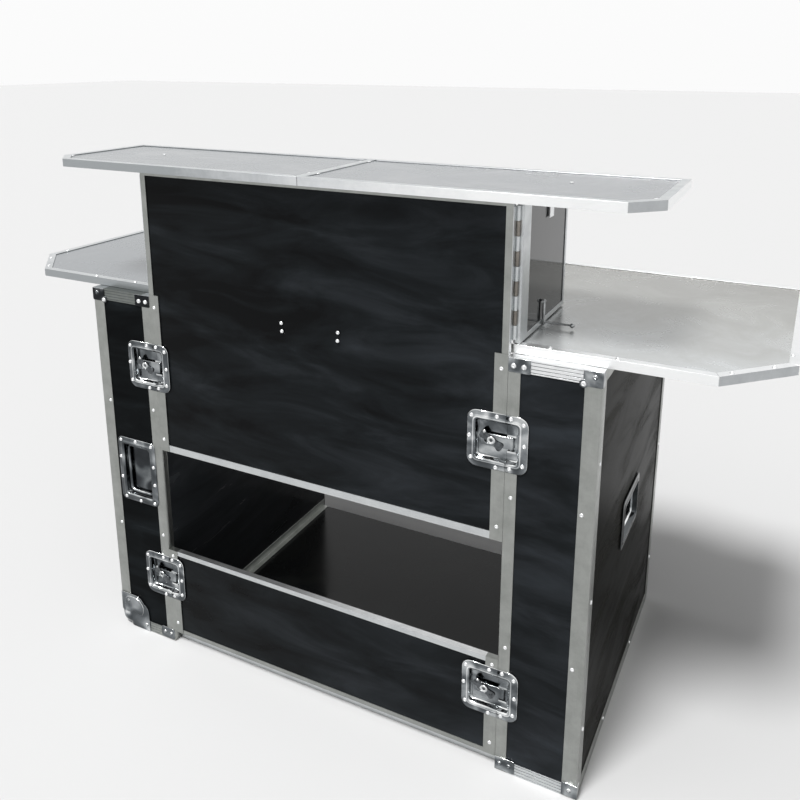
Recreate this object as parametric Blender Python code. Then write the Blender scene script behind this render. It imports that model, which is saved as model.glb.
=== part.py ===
"""Flight case bar: two upright case halves carry a low worktop and a high counter.

Metres, +Z up. The customer side faces -Y and +X is to the customer's right.
The origin is on the floor, below the middle of the bar's box.
"""
import math

import bpy
import bmesh
from mathutils import Matrix, Vector

# Fits and stock
GAP = 0.0003            # play between two pieces that touch
BOARD = 0.009           # laminated plywood
ALU = 0.0015            # aluminium angle and channel wall
CHROME = 0.0012         # pressed steel of latches and dishes

# Cases
CASE_SPAN = 1.090       # outer side to outer side, both cases
CASE_WIDTH = 0.156
CASE_DEPTH = 0.652
CASE_HEIGHT = 0.825
OUTER_STILE = 0.028     # face of the corner angle at the outer side
SIDE_FLANGE = 0.030     # its other leg, along the outer side
SEAM_STILE = 0.0215     # face of the angle beside the panels
SEAM_FLANGE = 0.018
TOP_RAIL = 0.024
BOTTOM_RAIL = 0.026
RAIL_WALL = 0.0024
RAIL_LEG = 0.020        # leg of a rail over or under the case
GROOVES = 4
GROOVE_WIDTH = 0.0012
GROOVE_DEPTH = 0.0008
EDGE_ANGLE = 0.024      # angle along the other edges of the outer side

# Front panels
SEAM = 0.001            # open joint between a case and the panels
PANEL_DEPTH = 0.0125    # board with its channel
WIDE_STILE = 0.0235
NARROW_STILE = 0.0115
STILE_PROUD = 0.0008    # wide stile stands proud of the narrow one
UPPER_BOTTOM = 0.481
UPPER_STRIP = 0.015
UPPER_TOP_STRIP = 0.009
STILE_CAP = 0.0035      # rise of the wide stile's cap over the cases
LOWER_BOTTOM = 0.0275
LOWER_TOP = 0.2385
LOWER_TOP_STRIP = 0.0105
LOWER_STRIP = 0.009

# Base board between the cases
BASE_BACK = 0.645
BASE_FLANGE = 0.014     # leg of the inner angle over the base board
BASE_ANGLE = 0.022      # its leg up the case

# Worktop and counter, each in two halves
TOP_DEPTH = 0.016       # thickness of worktop and counter
WORKTOP_SPAN = 1.634
WORKTOP_FRONT = 0.020
WORKTOP_BACK = 0.610
WORKTOP_CHAMFER = 0.105
COUNTER_SPAN = 1.236
COUNTER_OVERHANG = 0.025
COUNTER_BACK = 0.255
COUNTER_CHAMFER = 0.048
COUNTER_TOP = 1.100
TOP_EDGE = 0.015        # leg of the angle seen from above
TOP_SEAM_EDGE = 0.008
HALVES_GAP = 0.0006
BRACKET_SPAN = 0.180    # angle that carries the worktop where its halves meet
BRACKET_LEG = 0.070
BRACKET_DROP = 0.034
BRACKET_WALL = 0.003

# Side returns
RETURN_BOARD = 0.012
RETURN_LENGTH = 0.2545
RETURN_PLAY = 0.001     # above the worktop and below the counter
RETURN_STILE = 0.036
RETURN_EDGE = 0.009
KNUCKLE_RADIUS = 0.0035
PIN_RADIUS = 0.0015
PIN_PLAY = 0.0004
KNUCKLES = 9
KNUCKLE_GAP = 0.0006
LEAF = 0.0012
HINGE_INSET = 0.008
BOLT_RADIUS = 0.0025
BOLT_LENGTH = 0.046
BOLT_Y = 0.140          # behind the front plane
LEVER_RADIUS = 0.0018
LEVER_LENGTH = 0.052
LEVER_HEIGHT = 0.0045
LEVER_KNOB = 0.0042

# Butterfly latches, measured from the seam that they cross
LATCH_BODY = 0.070
LATCH_KEEPER = 0.040
LATCH_HEIGHT = 0.106
LATCH_CORNER = 0.018
LATCH_FLANGE = 0.0145   # left of the recess
KEEPER_FLANGE = 0.017
LATCH_RIM = 0.0165      # above and below the recess
PAN_DEPTH = 0.0085
PAN_CORNER = 0.006
UPPER_LATCH_DROP = 0.156        # from the top of the cases
LOWER_LATCH = 0.167
CAM_OFFSET = 0.026      # cam's axis from the seam
CAM_RADIUS = 0.0075
WING_REACH = 0.0225
WING_WIDTH = 0.017
WING_WAIST = 0.009
WING_WALL = 0.0018
WING_FRONT = -0.0020
WING_TILT = -32         # degrees from level, as the wings stand in the photo
HOOK_TAIL = 0.046
HOOK_NOSE = 0.0125
HOOK_HEIGHT = 0.022
HOOK_WALL = 0.002
HOOK_CORNER = 0.002
HOOK_FRONT = 0.002
HOOK_LIP = 0.0058
HOOK_STROKE = 0.006
HOOK_PLAY = 0.001       # between the hook's lip and the keeper's bar
KEEPER_BAR = 0.003
KEEPER_BAR_HEIGHT = 0.026

# Recessed handles
HANDLE_LONG = 0.153
HANDLE_SHORT = 0.106
HANDLE_CORNER = 0.012
HANDLE_RIM = 0.0155
HANDLE_DEPTH = 0.0135
HANDLE_PAN_CORNER = 0.0064  # small enough for the bail to stand up in the corners
BAIL_ROD = 0.0038       # radius
BAIL_CORNER = 0.010
BAIL_PLAY = 0.0006
HANDLE_INSET = 0.033    # front handle from the case's outer side

# Ball corner at the left case's foot
BALL_LEG = 0.0835
BALL_LOBE = 0.0275
BALL_LOBE_NEAR = 0.044  # from the case's corner to a lobe's centre, the short way
BALL_NOTCH = 0.024
BALL_MOUTH = 0.012      # hole in the plates, filled by the ball
BALL_RADIUS = 0.016
BALL_BULGE = 0.004

# Places that follow from the sizes above
BACK = (CASE_DEPTH + COUNTER_OVERHANG) / 2
FRONT = BACK - CASE_DEPTH
OUT = CASE_SPAN / 2
IN = OUT - CASE_WIDTH
PANEL_EDGE = IN - SEAM
SKIN = ALU + GAP
STILE_TOP = CASE_HEIGHT + STILE_CAP
UPPER_LATCH = CASE_HEIGHT - UPPER_LATCH_DROP
FRONT_HANDLE_X = OUT - HANDLE_INSET - HANDLE_SHORT / 2
HANDLE_HEIGHT = CASE_HEIGHT / 2
WORKTOP_BOTTOM = CASE_HEIGHT + GAP
WORKTOP_TOP = WORKTOP_BOTTOM + TOP_DEPTH
COUNTER_BOTTOM = COUNTER_TOP - TOP_DEPTH
UPPER_TOP = COUNTER_BOTTOM - GAP
PANEL_BACK = FRONT + PANEL_DEPTH
CASE_WALL = IN + SKIN - GAP         # where the base meets a case's inner side
BASE_FRONT = FRONT + SEAM_FLANGE + GAP
RETURN_BOTTOM = WORKTOP_TOP + RETURN_PLAY
RETURN_TOP = COUNTER_BOTTOM - RETURN_PLAY
HINGE_X = PANEL_EDGE + GAP + KNUCKLE_RADIUS
HINGE_Y = PANEL_BACK + GAP + KNUCKLE_RADIUS
RETURN_INNER = HINGE_X - KNUCKLE_RADIUS
RETURN_OUTER = RETURN_INNER + RETURN_BOARD
RETURN_FRONT = HINGE_Y + KNUCKLE_RADIUS + GAP + LEAF + GAP
ROUND = 20              # sides of a small round piece
NOSE_STEPS = 4          # steps round the outer corner of an angle


for old in list(bpy.data.objects):
    bpy.data.objects.remove(old, do_unlink=True)


def material(name, rgb, metallic, roughness):
    mat = bpy.data.materials.new(name)
    mat.use_nodes = True
    shader = mat.node_tree.nodes["Principled BSDF"]
    shader.inputs["Base Color"].default_value = (*rgb, 1.0)
    shader.inputs["Metallic"].default_value = metallic
    shader.inputs["Roughness"].default_value = roughness
    mat.diffuse_color = (*rgb, 1.0)
    return mat


FINISH = {
    "laminate": ((0.012, 0.013, 0.015), 0.0, 0.16),
    "aluminium": ((0.53, 0.54, 0.53), 1.0, 0.38),
    "chrome": ((0.72, 0.73, 0.75), 1.0, 0.12),
    "sheet": ((0.48, 0.50, 0.50), 1.0, 0.30),
    "steel": ((0.20, 0.20, 0.21), 1.0, 0.35),
}


def finish(obj, name):
    """Give a node a material of its own."""
    obj.data.materials.clear()
    obj.data.materials.append(material(obj.name + "_" + name, *FINISH[name]))
    return obj


def from_bmesh(name, bm):
    bmesh.ops.recalc_face_normals(bm, faces=bm.faces)
    mesh = bpy.data.meshes.new(name)
    bm.to_mesh(mesh)
    bm.free()
    obj = bpy.data.objects.new(name, mesh)
    bpy.context.collection.objects.link(obj)
    return obj


def box(name, low, high):
    bm = bmesh.new()
    bmesh.ops.create_cube(bm, size=1.0)
    low, high = Vector(low), Vector(high)
    centre = (low + high) / 2
    size = [abs(v) for v in (high - low)]
    place = Matrix.Translation(centre) @ Matrix.Diagonal((*size, 1.0))
    bmesh.ops.transform(bm, matrix=place, verts=bm.verts)
    return from_bmesh(name, bm)


# A prism's outline has two coordinates, which lie along the first two of these axes
PLANES = {"x": "yzx", "y": "xzy", "z": "xyz"}


def plane(axis):
    return ["xyz".index(letter) for letter in PLANES[axis]]


def prism(name, outline, axis, start, end):
    """Extrude a flat outline along an axis."""
    first, second, along = plane(axis)
    bm = bmesh.new()
    ring = []
    for a, b in outline:
        point = [0.0, 0.0, 0.0]
        point[first], point[second], point[along] = a, b, start
        ring.append(bm.verts.new(point))
    face = bm.faces.new(ring)
    step = Vector((0.0, 0.0, 0.0))
    step[along] = end - start
    out = bmesh.ops.extrude_face_region(bm, geom=[face])
    moved = [v for v in out["geom"] if isinstance(v, bmesh.types.BMVert)]
    bmesh.ops.translate(bm, vec=step, verts=moved)
    return from_bmesh(name, bm)


def boolean(obj, others, operation):
    """Apply a Boolean with each of the other objects, which are used up."""
    for other in others:
        change = obj.modifiers.new(operation.title(), "BOOLEAN")
        change.operation = operation
        change.solver = "EXACT"
        change.object = other
    bpy.context.view_layer.update()
    graph = bpy.context.evaluated_depsgraph_get()
    mesh = bpy.data.meshes.new_from_object(obj.evaluated_get(graph))
    obj.modifiers.clear()
    obj.data = mesh
    for other in others:
        bpy.data.objects.remove(other, do_unlink=True)
    return obj


def cut(obj, *others):
    return boolean(obj, others, "DIFFERENCE")


def join(obj, *others):
    return boolean(obj, others, "UNION")


def smooth(obj, degrees=35):
    obj.data.shade_smooth()
    obj.data.set_sharp_from_angle(angle=math.radians(degrees))
    return obj


def arc(centre, radius, start, end, steps):
    """Points on an arc, in degrees, both ends included."""
    points = []
    for i in range(steps + 1):
        turn = math.radians(start + (end - start) * i / steps)
        points.append((centre[0] + radius * math.cos(turn), centre[1] + radius * math.sin(turn)))
    return points


def rounded(a0, a1, b0, b1, radii, steps=6):
    """A rectangle with its own radius at each corner: low-low, high-low, high-high, low-high."""
    corners = ((a0, b0, 1, 1, 180), (a1, b0, -1, 1, 270), (a1, b1, -1, -1, 0), (a0, b1, 1, -1, 90))
    points = []
    for (a, b, da, db, start), radius in zip(corners, radii):
        if radius == 0:
            points.append((a, b))
        else:
            points += arc((a + da * radius, b + db * radius), radius, start, start + 90, steps)
    return points


def inset(outline, widths):
    """Move each side of a convex outline inwards, side i running from point i to point i + 1."""
    count = len(outline)
    area = sum(outline[i][0] * outline[(i + 1) % count][1] - outline[(i + 1) % count][0] * outline[i][1]
               for i in range(count))
    turn = 1 if area > 0 else -1
    lines = []
    for i, width in enumerate(widths):
        (ax, ay), (bx, by) = outline[i], outline[(i + 1) % count]
        length = math.hypot(bx - ax, by - ay)
        dx, dy = (bx - ax) / length, (by - ay) / length
        nx, ny = -dy * turn, dx * turn
        lines.append((ax + nx * width, ay + ny * width, dx, dy))
    points = []
    for i in range(count):
        px, py, pdx, pdy = lines[i - 1]
        qx, qy, qdx, qdy = lines[i]
        cross = pdx * qdy - pdy * qdx
        along = ((qx - px) * qdy - (qy - py) * qdx) / cross
        points.append((px + pdx * along, py + pdy * along))
    return points


def edged_board(name, outline, axis, start, end, legs, looks):
    """A board held in a channel that runs round its edge: two nodes."""
    walls = [ALU] * len(outline)
    seats = [SKIN] * len(outline)
    reach = end - start
    frame = prism(name + "_edge", outline, axis, start, end)
    slot = prism("slot", inset(outline, walls), axis, start + ALU, end - ALU)
    window = prism("window", inset(outline, legs), axis, start - reach, end + reach)
    cut(frame, slot, window)
    board = prism(name + "_board", inset(outline, seats), axis, start + SKIN, end - SKIN)
    finish(frame, looks[0])
    finish(board, looks[1])
    return frame, board


def mirrored(outline, side):
    return [(side * a, b) for a, b in outline]


def cylinder(name, centre, axis, radius, length, sides=ROUND):
    """A rod that starts at its centre point and runs along an axis."""
    outline = [(radius * math.cos(2 * math.pi * i / sides), radius * math.sin(2 * math.pi * i / sides))
               for i in range(sides)]
    first, second, along = plane(axis)
    moved = [(centre[first] + a, centre[second] + b) for a, b in outline]
    return prism(name, moved, axis, centre[along], centre[along] + length)


# Openings that a fitting needs in the boards and angles that it crosses

def latch_pan(x, z, side, near, clearance):
    """Outline of a latch's recess on one side of the seam, starting at near, square there."""
    half = LATCH_HEIGHT / 2 - LATCH_RIM + clearance
    if side < 0:
        low, high = x + PAN_LEFT - clearance, x + near
        radii = [PAN_CORNER, 0, 0, PAN_CORNER]
    else:
        low, high = x + near, x + PAN_RIGHT + clearance
        radii = [0, PAN_CORNER, PAN_CORNER, 0]
    return rounded(low, high, z - half, z + half, radii)


PAN_LEFT = -(LATCH_BODY - LATCH_FLANGE)
PAN_RIGHT = LATCH_KEEPER - KEEPER_FLANGE
CUT_PLAY = 0.0005       # round a dish, in the board that holds it


def latch_cutter(x, z, side):
    """Cuts the board and the angle on one side of a seam for a latch's recess."""
    outline = latch_pan(x, z, side, -side * SEAM, CUT_PLAY)
    return prism("latch_cutter", outline, "y", FRONT - PANEL_DEPTH, FRONT + PAN_DEPTH + CHROME + CUT_PLAY)


LATCHES = {
    "upper_left": (-(IN - SEAM / 2), UPPER_LATCH),
    "upper_right": (IN - SEAM / 2, UPPER_LATCH),
    "lower_left": (-(IN - SEAM / 2), LOWER_LATCH),
    "lower_right": (IN - SEAM / 2, LOWER_LATCH),
}


def latch_cutters(places, side):
    return [latch_cutter(*LATCHES[place], side) for place in places]


def handle_outlines(u, v, half_u, half_v):
    """Rim, outer pan and pan opening of a handle dish on its own face."""
    rim = rounded(u - half_u, u + half_u, v - half_v, v + half_v, [HANDLE_CORNER] * 4)
    pan_u, pan_v = half_u - HANDLE_RIM, half_v - HANDLE_RIM
    pan = rounded(u - pan_u, u + pan_u, v - pan_v, v + pan_v, [HANDLE_PAN_CORNER] * 4)
    in_u, in_v = pan_u - CHROME, pan_v - CHROME
    inner = rounded(u - in_u, u + in_u, v - in_v, v + in_v, [HANDLE_PAN_CORNER - CHROME] * 4)
    out_u, out_v = pan_u + CUT_PLAY, pan_v + CUT_PLAY
    clear = rounded(u - out_u, u + out_u, v - out_v, v + out_v, [HANDLE_PAN_CORNER + CUT_PLAY] * 4)
    return rim, pan, inner, clear


FRONT_HANDLE = handle_outlines(-FRONT_HANDLE_X, HANDLE_HEIGHT, HANDLE_SHORT / 2, HANDLE_LONG / 2)
SIDE_HANDLE_Y = FRONT + CASE_DEPTH / 2
SIDE_HANDLE = handle_outlines(SIDE_HANDLE_Y, HANDLE_HEIGHT, HANDLE_LONG / 2, HANDLE_SHORT / 2)


def handle_cutter(outlines, axis, face, direction):
    depth = 3 * BOARD
    return prism("handle_cutter", outlines[3], axis, face - direction * depth, face + direction * depth)


def ball_notch():
    """Room for the ball at the foot of the left case."""
    low = (-OUT - BALL_NOTCH, FRONT - BALL_NOTCH, -BALL_NOTCH)
    return box("notch", low, (-OUT + BALL_NOTCH + GAP, FRONT + BALL_NOTCH + GAP, BALL_NOTCH + GAP))


# Cases

def case_inside(side):
    """Two corners of the space inside a case, which runs out past its back."""
    wall = SKIN + BOARD
    low = (side * (IN + wall), FRONT + wall, wall)
    return low, (side * (OUT - wall), BACK + wall, CASE_HEIGHT - wall)


def case_box(side, name):
    """Five boards of one case, open at the back. The left front board is a node of its own."""
    low = (side * (IN + SKIN), FRONT + SKIN, SKIN)
    high = (side * (OUT - SKIN), BACK - SKIN, CASE_HEIGHT - SKIN)
    inside = box("inside", *case_inside(side))
    latches = latch_cutters(["upper_" + name, "lower_" + name], side)
    if side > 0:
        obj = box("case_box_right", low, high)
        cut(obj, inside, handle_cutter(SIDE_HANDLE, "x", OUT, 1), *latches)
    else:
        behind = FRONT + SKIN + BOARD
        front = box("case_front_left", low, (high[0], behind, high[2]))
        cut(front, handle_cutter(FRONT_HANDLE, "y", FRONT, 1), ball_notch(), *latches)
        finish(front, "laminate")
        obj = box("case_box_left", (low[0], behind + GAP, low[2]), high)
        cut(obj, inside, ball_notch())
    finish(obj, "laminate")


def angle_outline(corner, legs, wall, directions):
    """An L section with its outer corner rounded off."""
    cx, cy = corner
    (leg_a, leg_b), (da, db) = legs, directions
    nose = [(cx + da * (wall - wall * math.sin(t)), cy + db * (wall - wall * math.cos(t)))
            for t in (math.pi / 2 * i / NOSE_STEPS for i in range(NOSE_STEPS + 1))]
    return [(cx + da * leg_a, cy), (cx + da * leg_a, cy + db * wall), (cx + da * wall, cy + db * wall),
            (cx + da * wall, cy + db * leg_b), (cx, cy + db * leg_b)] + nose[::-1]


def outer_stile(side, name):
    outline = angle_outline((side * OUT, FRONT), (OUTER_STILE, SIDE_FLANGE), ALU, (-side, 1))
    obj = prism("case_outer_stile_" + name, outline, "z", GAP, CASE_HEIGHT - GAP)
    if side < 0:
        cut(obj, ball_notch())
    return finish(obj, "aluminium")


def seam_stile(side, name):
    outline = angle_outline((side * IN, FRONT), (SEAM_STILE, SEAM_FLANGE), ALU, (side, 1))
    obj = prism("case_seam_stile_" + name, outline, "z", GAP, CASE_HEIGHT - GAP)
    cut(obj, *latch_cutters(["upper_" + name, "lower_" + name], side))
    return finish(obj, "aluminium")


def rail_outline(edge, face, leg, up):
    """Grooved front face with a plain leg over the case: outline in Y and Z."""
    points = [(FRONT, edge)]
    pitch = face / GROOVES
    for i in range(GROOVES):
        middle = edge + up * (i + 0.5) * pitch
        half = GROOVE_WIDTH / 2
        points += [(FRONT, middle - up * half), (FRONT + GROOVE_DEPTH, middle - up * half),
                   (FRONT + GROOVE_DEPTH, middle + up * half), (FRONT, middle + up * half)]
    points += [(FRONT, edge + up * face), (FRONT + ALU, edge + up * face), (FRONT + ALU, edge + up * ALU),
               (FRONT + leg, edge + up * ALU), (FRONT + leg, edge)]
    return points


def rail(side, name, top):
    """Grooved rail across the front of a case, between its stiles."""
    x0, x1 = IN + SEAM_STILE + GAP, OUT - OUTER_STILE - GAP
    if top:
        outline = rail_outline(CASE_HEIGHT, TOP_RAIL, RAIL_LEG, -1)
        obj = prism("case_top_rail_" + name, outline, "x", side * x0, side * x1)
    else:
        outline = rail_outline(0.0, BOTTOM_RAIL, RAIL_LEG, 1)
        obj = prism("case_bottom_rail_" + name, outline, "x", side * x0, side * x1)
    return finish(obj, "aluminium")


def side_edging(side, name):
    """Angles along the top, bottom and back edges of a case's outer side, in one."""
    start = FRONT + SIDE_FLANGE + GAP
    low, high = 0.0, CASE_HEIGHT
    outer, inner = side * OUT, side * (OUT - ALU)
    back, foot, head = BACK - EDGE_ANGLE, low + EDGE_ANGLE, high - EDGE_ANGLE
    band = [(start, low), (BACK, low), (BACK, high), (start, high), (start, head), (back, head),
            (back, foot), (start, foot)]
    obj = prism("case_side_edging_" + name, band, "x", outer, inner)
    reach = side * (OUT - RAIL_LEG)
    under = box("under", (outer, start, low), (reach, BACK, low + ALU))
    over = box("over", (outer, start, high - ALU), (reach, BACK, high))
    lip = box("lip", (outer, BACK - ALU, low), (side * (OUT - ALU - BOARD), BACK, high))
    return finish(join(obj, under, over, lip), "aluminium")


def ball_corner():
    """Pressed corner: two lobed plates that run into a ball."""
    x, y = -OUT - SKIN, FRONT - SKIN
    leg, near, mouth = BALL_LEG, BALL_LOBE_NEAR, BALL_MOUTH
    far = leg - BALL_LOBE
    notch = (far + near) / 2 + math.sqrt(BALL_LOBE ** 2 / 2 - ((far - near) / 2) ** 2)
    turn = math.degrees(math.atan2(notch - far, notch - near))
    upper = arc((near, far), BALL_LOBE, 90, turn, 6)
    right = arc((far, near), BALL_LOBE, 90 - turn, 0, 6)
    petal = [(0.0, 0.0), (0.0, leg)] + upper + right[1:] + [(leg, 0.0)]
    front = prism("ball_corner_left", [(x + a, b) for a, b in petal], "y", y, y + CHROME)
    flank = prism("flank", [(y + a, b) for a, b in petal], "x", x, x + CHROME)
    join(front, flank)
    cut(front, box("clear", (x - mouth, y - mouth, -mouth), (x + mouth, y + mouth, mouth)))
    bm = bmesh.new()
    bmesh.ops.create_uvsphere(bm, u_segments=28, v_segments=18, radius=BALL_RADIUS)
    offset = BALL_RADIUS - BALL_BULGE
    bmesh.ops.translate(bm, vec=(x + offset, y + offset, offset), verts=bm.verts)
    ball = from_bmesh("ball", bm)
    keep = box("keep", (x - BALL_RADIUS, y - BALL_RADIUS, 0.0),
               (-OUT + BALL_NOTCH, FRONT + BALL_NOTCH, BALL_NOTCH))
    boolean(ball, [keep], "INTERSECT")
    low, high = case_inside(-1)
    cut(ball, box("inside", low, high))
    join(front, ball)
    return finish(smooth(front), "chrome")


# Front panels and base

def panel(name, low, high, strips, stile_top, places):
    """A black board in its channel, with wide stiles down its sides."""
    edge = PANEL_EDGE
    outline = [(-edge, low), (edge, low), (edge, high), (-edge, high)]
    legs = [strips[0], NARROW_STILE, strips[1], NARROW_STILE]
    face = FRONT + STILE_PROUD
    frame, board = edged_board(name, outline, "y", face, PANEL_BACK, legs, ("aluminium", "laminate"))
    for side in (-1, 1):
        inner, outer = side * (edge - WIDE_STILE), side * edge
        join(frame, box("stile", (inner, FRONT, low), (outer, face + ALU, stile_top)))
    for side in (-1, 1):
        names = [place + ("_left" if side < 0 else "_right") for place in places]
        cut(frame, *latch_cutters(names, -side))
        cut(board, *latch_cutters(names, -side))
    return frame, board


def base_board():
    obj = box("base_board", (-CASE_WALL, BASE_FRONT, 0.0), (CASE_WALL, FRONT + BASE_BACK, BOARD))
    return finish(obj, "laminate")


def base_angle(side, name):
    """Angle in the corner between a case and the base board."""
    seat = BOARD + GAP
    wall = side * CASE_WALL
    inner, reach = wall - side * ALU, wall - side * BASE_FLANGE
    outline = [(wall, seat), (wall, seat + BASE_ANGLE), (inner, seat + BASE_ANGLE),
               (inner, seat + ALU), (reach, seat + ALU), (reach, seat)]
    obj = prism("base_angle_" + name, outline, "y", BASE_FRONT, FRONT + BASE_BACK)
    return finish(obj, "aluminium")


# Worktop, counter and the bracket under the worktop's joint

def top_outline(half, front, back, chamfer):
    """Half a top from its joint outwards, with the front corner cut off."""
    return [(HALVES_GAP / 2, front), (half - chamfer, front), (half, front + chamfer), (half, back),
            (HALVES_GAP / 2, back)]


def top_halves(name, span, front, back, chamfer, bottom):
    outline = top_outline(span / 2, front, back, chamfer)
    legs = [TOP_EDGE, TOP_EDGE, TOP_EDGE, TOP_EDGE, TOP_SEAM_EDGE]
    for side, label in ((-1, "left"), (1, "right")):
        edged_board(f"{name}_{label}", mirrored(outline, side), "z", bottom, bottom + TOP_DEPTH, legs,
                    ("aluminium", "sheet"))


def worktop_bracket():
    back, top = PANEL_BACK + GAP, WORKTOP_BOTTOM - GAP
    inner, under = back + BRACKET_WALL, top - BRACKET_WALL
    reach, foot = back + BRACKET_LEG, top - BRACKET_DROP
    outline = [(back, top), (reach, top), (reach, under), (inner, under), (inner, foot), (back, foot)]
    obj = prism("worktop_bracket", outline, "x", -BRACKET_SPAN / 2, BRACKET_SPAN / 2)
    return finish(obj, "aluminium")


# Side returns with their piano hinges and drop bolts

def side_return(side, name):
    outline = [(RETURN_FRONT, RETURN_BOTTOM), (RETURN_FRONT + RETURN_LENGTH, RETURN_BOTTOM),
               (RETURN_FRONT + RETURN_LENGTH, RETURN_TOP), (RETURN_FRONT, RETURN_TOP)]
    legs = [RETURN_EDGE, RETURN_EDGE, RETURN_EDGE, RETURN_STILE]
    start, end = sorted((side * RETURN_INNER, side * RETURN_OUTER))
    return edged_board("return_" + name, outline, "x", start, end, legs, ("aluminium", "laminate"))


def knuckle_spans():
    """Where each knuckle of the piano hinge starts and ends."""
    low, high = RETURN_BOTTOM + HINGE_INSET, RETURN_TOP - HINGE_INSET
    pitch, half_gap = (high - low) / KNUCKLES, KNUCKLE_GAP / 2
    return [(low + i * pitch + half_gap, low + (i + 1) * pitch - half_gap) for i in range(KNUCKLES)]


def hinge_leaf(side, name, fixed):
    """One leaf: the fixed one carries the pin, the other turns on it."""
    spans = knuckle_spans()
    mine = spans[0::2] if fixed else spans[1::2]
    low, high = spans[0][0], spans[-1][1]
    x, y = side * HINGE_X, HINGE_Y
    label = "hinge_fixed_" if fixed else "hinge_moving_"
    if fixed:
        plate_x = (side * (PANEL_EDGE + GAP), side * (PANEL_EDGE + GAP + LEAF))
        plate = box(label + name, (plate_x[0], FRONT + STILE_PROUD, low), (plate_x[1], y - LEAF, high))
    else:
        plate_y = RETURN_FRONT - GAP
        reach = side * (RETURN_OUTER - GAP)
        plate = box(label + name, (side * RETURN_INNER, plate_y - LEAF, low), (reach, plate_y, high))
    others = [span for span in spans if span not in mine]
    clearance = KNUCKLE_RADIUS + GAP
    if fixed:
        for z0, z1 in others:
            length = z1 - z0 + 2 * KNUCKLE_GAP
            cut(plate, cylinder("gap", (x, y, z0 - KNUCKLE_GAP), "z", clearance, length))
    tubes = []
    for z0, z1 in mine:
        tubes.append(cylinder("tube", (x, y, z0), "z", KNUCKLE_RADIUS, z1 - z0))
        if not fixed:
            near, far = y, RETURN_FRONT - GAP - LEAF / 2
            tubes.append(box("web", (x - side * LEAF / 2, near, z0), (x + side * LEAF / 2, far, z1)))
    join(plate, *tubes)
    if fixed:
        pin = cylinder("pin", (x, y, low + GAP), "z", PIN_RADIUS, high - low - 2 * GAP)
        join(plate, pin)
    else:
        bore = cylinder("bore", (x, y, low - GAP), "z", PIN_RADIUS + PIN_PLAY, high - low + 2 * GAP)
        cut(plate, bore)
    return finish(smooth(plate), "aluminium")


def drop_bolt(side, name):
    """Round bolt that stands on the worktop, with a short lever to lift it by."""
    x = RETURN_OUTER + GAP + BOLT_RADIUS
    y = FRONT + BOLT_Y
    foot = WORKTOP_TOP + RETURN_PLAY
    obj = cylinder("drop_bolt_" + name, (side * x, y, foot), "z", BOLT_RADIUS, BOLT_LENGTH)
    start, height = side * x, foot + LEVER_HEIGHT
    lever = cylinder("lever", (start, y, height), "x", LEVER_RADIUS, side * LEVER_LENGTH, 12)
    bm = bmesh.new()
    bmesh.ops.create_uvsphere(bm, u_segments=16, v_segments=10, radius=LEVER_KNOB)
    bmesh.ops.translate(bm, vec=(start + side * LEVER_LENGTH, y, height), verts=bm.verts)
    knob = from_bmesh("knob", bm)
    join(obj, lever, knob)
    return finish(smooth(obj), "steel")


# Butterfly latches

def latch_dish(place, x, z):
    """Pressed dish that holds the cam, open towards the seam."""
    half = LATCH_HEIGHT / 2
    edge = x - SEAM / 2 - GAP
    rim = rounded(x - LATCH_BODY, edge, z - half, z + half, [LATCH_CORNER, 0, 0, LATCH_CORNER])
    face = FRONT - GAP
    obj = prism("latch_dish_" + place, rim, "y", face - CHROME, face)
    pan = latch_pan(x, z, -1, -SEAM / 2 - GAP, 0.0)
    join(obj, prism("pan", pan, "y", face - CHROME / 2, FRONT + PAN_DEPTH + CHROME))
    inner = latch_pan(x, z, -1, SEAM, -CHROME)
    cut(obj, prism("inner", inner, "y", face - PAN_DEPTH, FRONT + PAN_DEPTH))
    return finish(obj, "chrome")


def latch_keeper(place, x, z):
    """The smaller dish across the seam, with the bar that the hook grips."""
    half = LATCH_HEIGHT / 2
    edge = x + SEAM / 2 + GAP
    rim = rounded(edge, x + LATCH_KEEPER, z - half, z + half, [0, LATCH_CORNER, LATCH_CORNER, 0])
    face = FRONT - GAP
    obj = prism("latch_keeper_" + place, rim, "y", face - CHROME, face)
    pan = latch_pan(x, z, 1, SEAM / 2 + GAP, 0.0)
    join(obj, prism("pan", pan, "y", face - CHROME / 2, FRONT + PAN_DEPTH + CHROME))
    inner = latch_pan(x, z, 1, -SEAM, -CHROME)
    cut(obj, prism("inner", inner, "y", face - PAN_DEPTH, FRONT + PAN_DEPTH))
    bar_end = x + HOOK_NOSE - HOOK_WALL - HOOK_PLAY
    bar_front = FRONT + HOOK_FRONT + HOOK_WALL + HOOK_PLAY / 2
    half = KEEPER_BAR_HEIGHT / 2
    bar = box("bar", (bar_end - KEEPER_BAR, bar_front, z - half),
              (bar_end, FRONT + PAN_DEPTH + CHROME / 2, z + half))
    return finish(join(obj, bar), "chrome")


def latch_hook(place, x, z):
    """Sliding hook with a slot round the cam and a lip behind the keeper's bar."""
    half = HOOK_HEIGHT / 2
    front = FRONT + HOOK_FRONT
    nose = x + HOOK_NOSE
    outline = rounded(x - HOOK_TAIL, nose, z - half, z + half, [HOOK_CORNER, 0, 0, HOOK_CORNER], 3)
    obj = prism("latch_hook_" + place, outline, "y", front, front + HOOK_WALL)
    join(obj, box("lip", (nose - HOOK_WALL, front, z - half), (nose, front + HOOK_LIP, z + half)))
    cam = x - CAM_OFFSET
    radius = CAM_RADIUS + 2 * GAP
    slot = arc((cam, z), radius, -90, 90, 8) + arc((cam - HOOK_STROKE, z), radius, 90, 270, 8)
    cut(obj, prism("slot", slot, "y", front - HOOK_WALL, front + 2 * HOOK_WALL))
    return finish(obj, "chrome")


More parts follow.
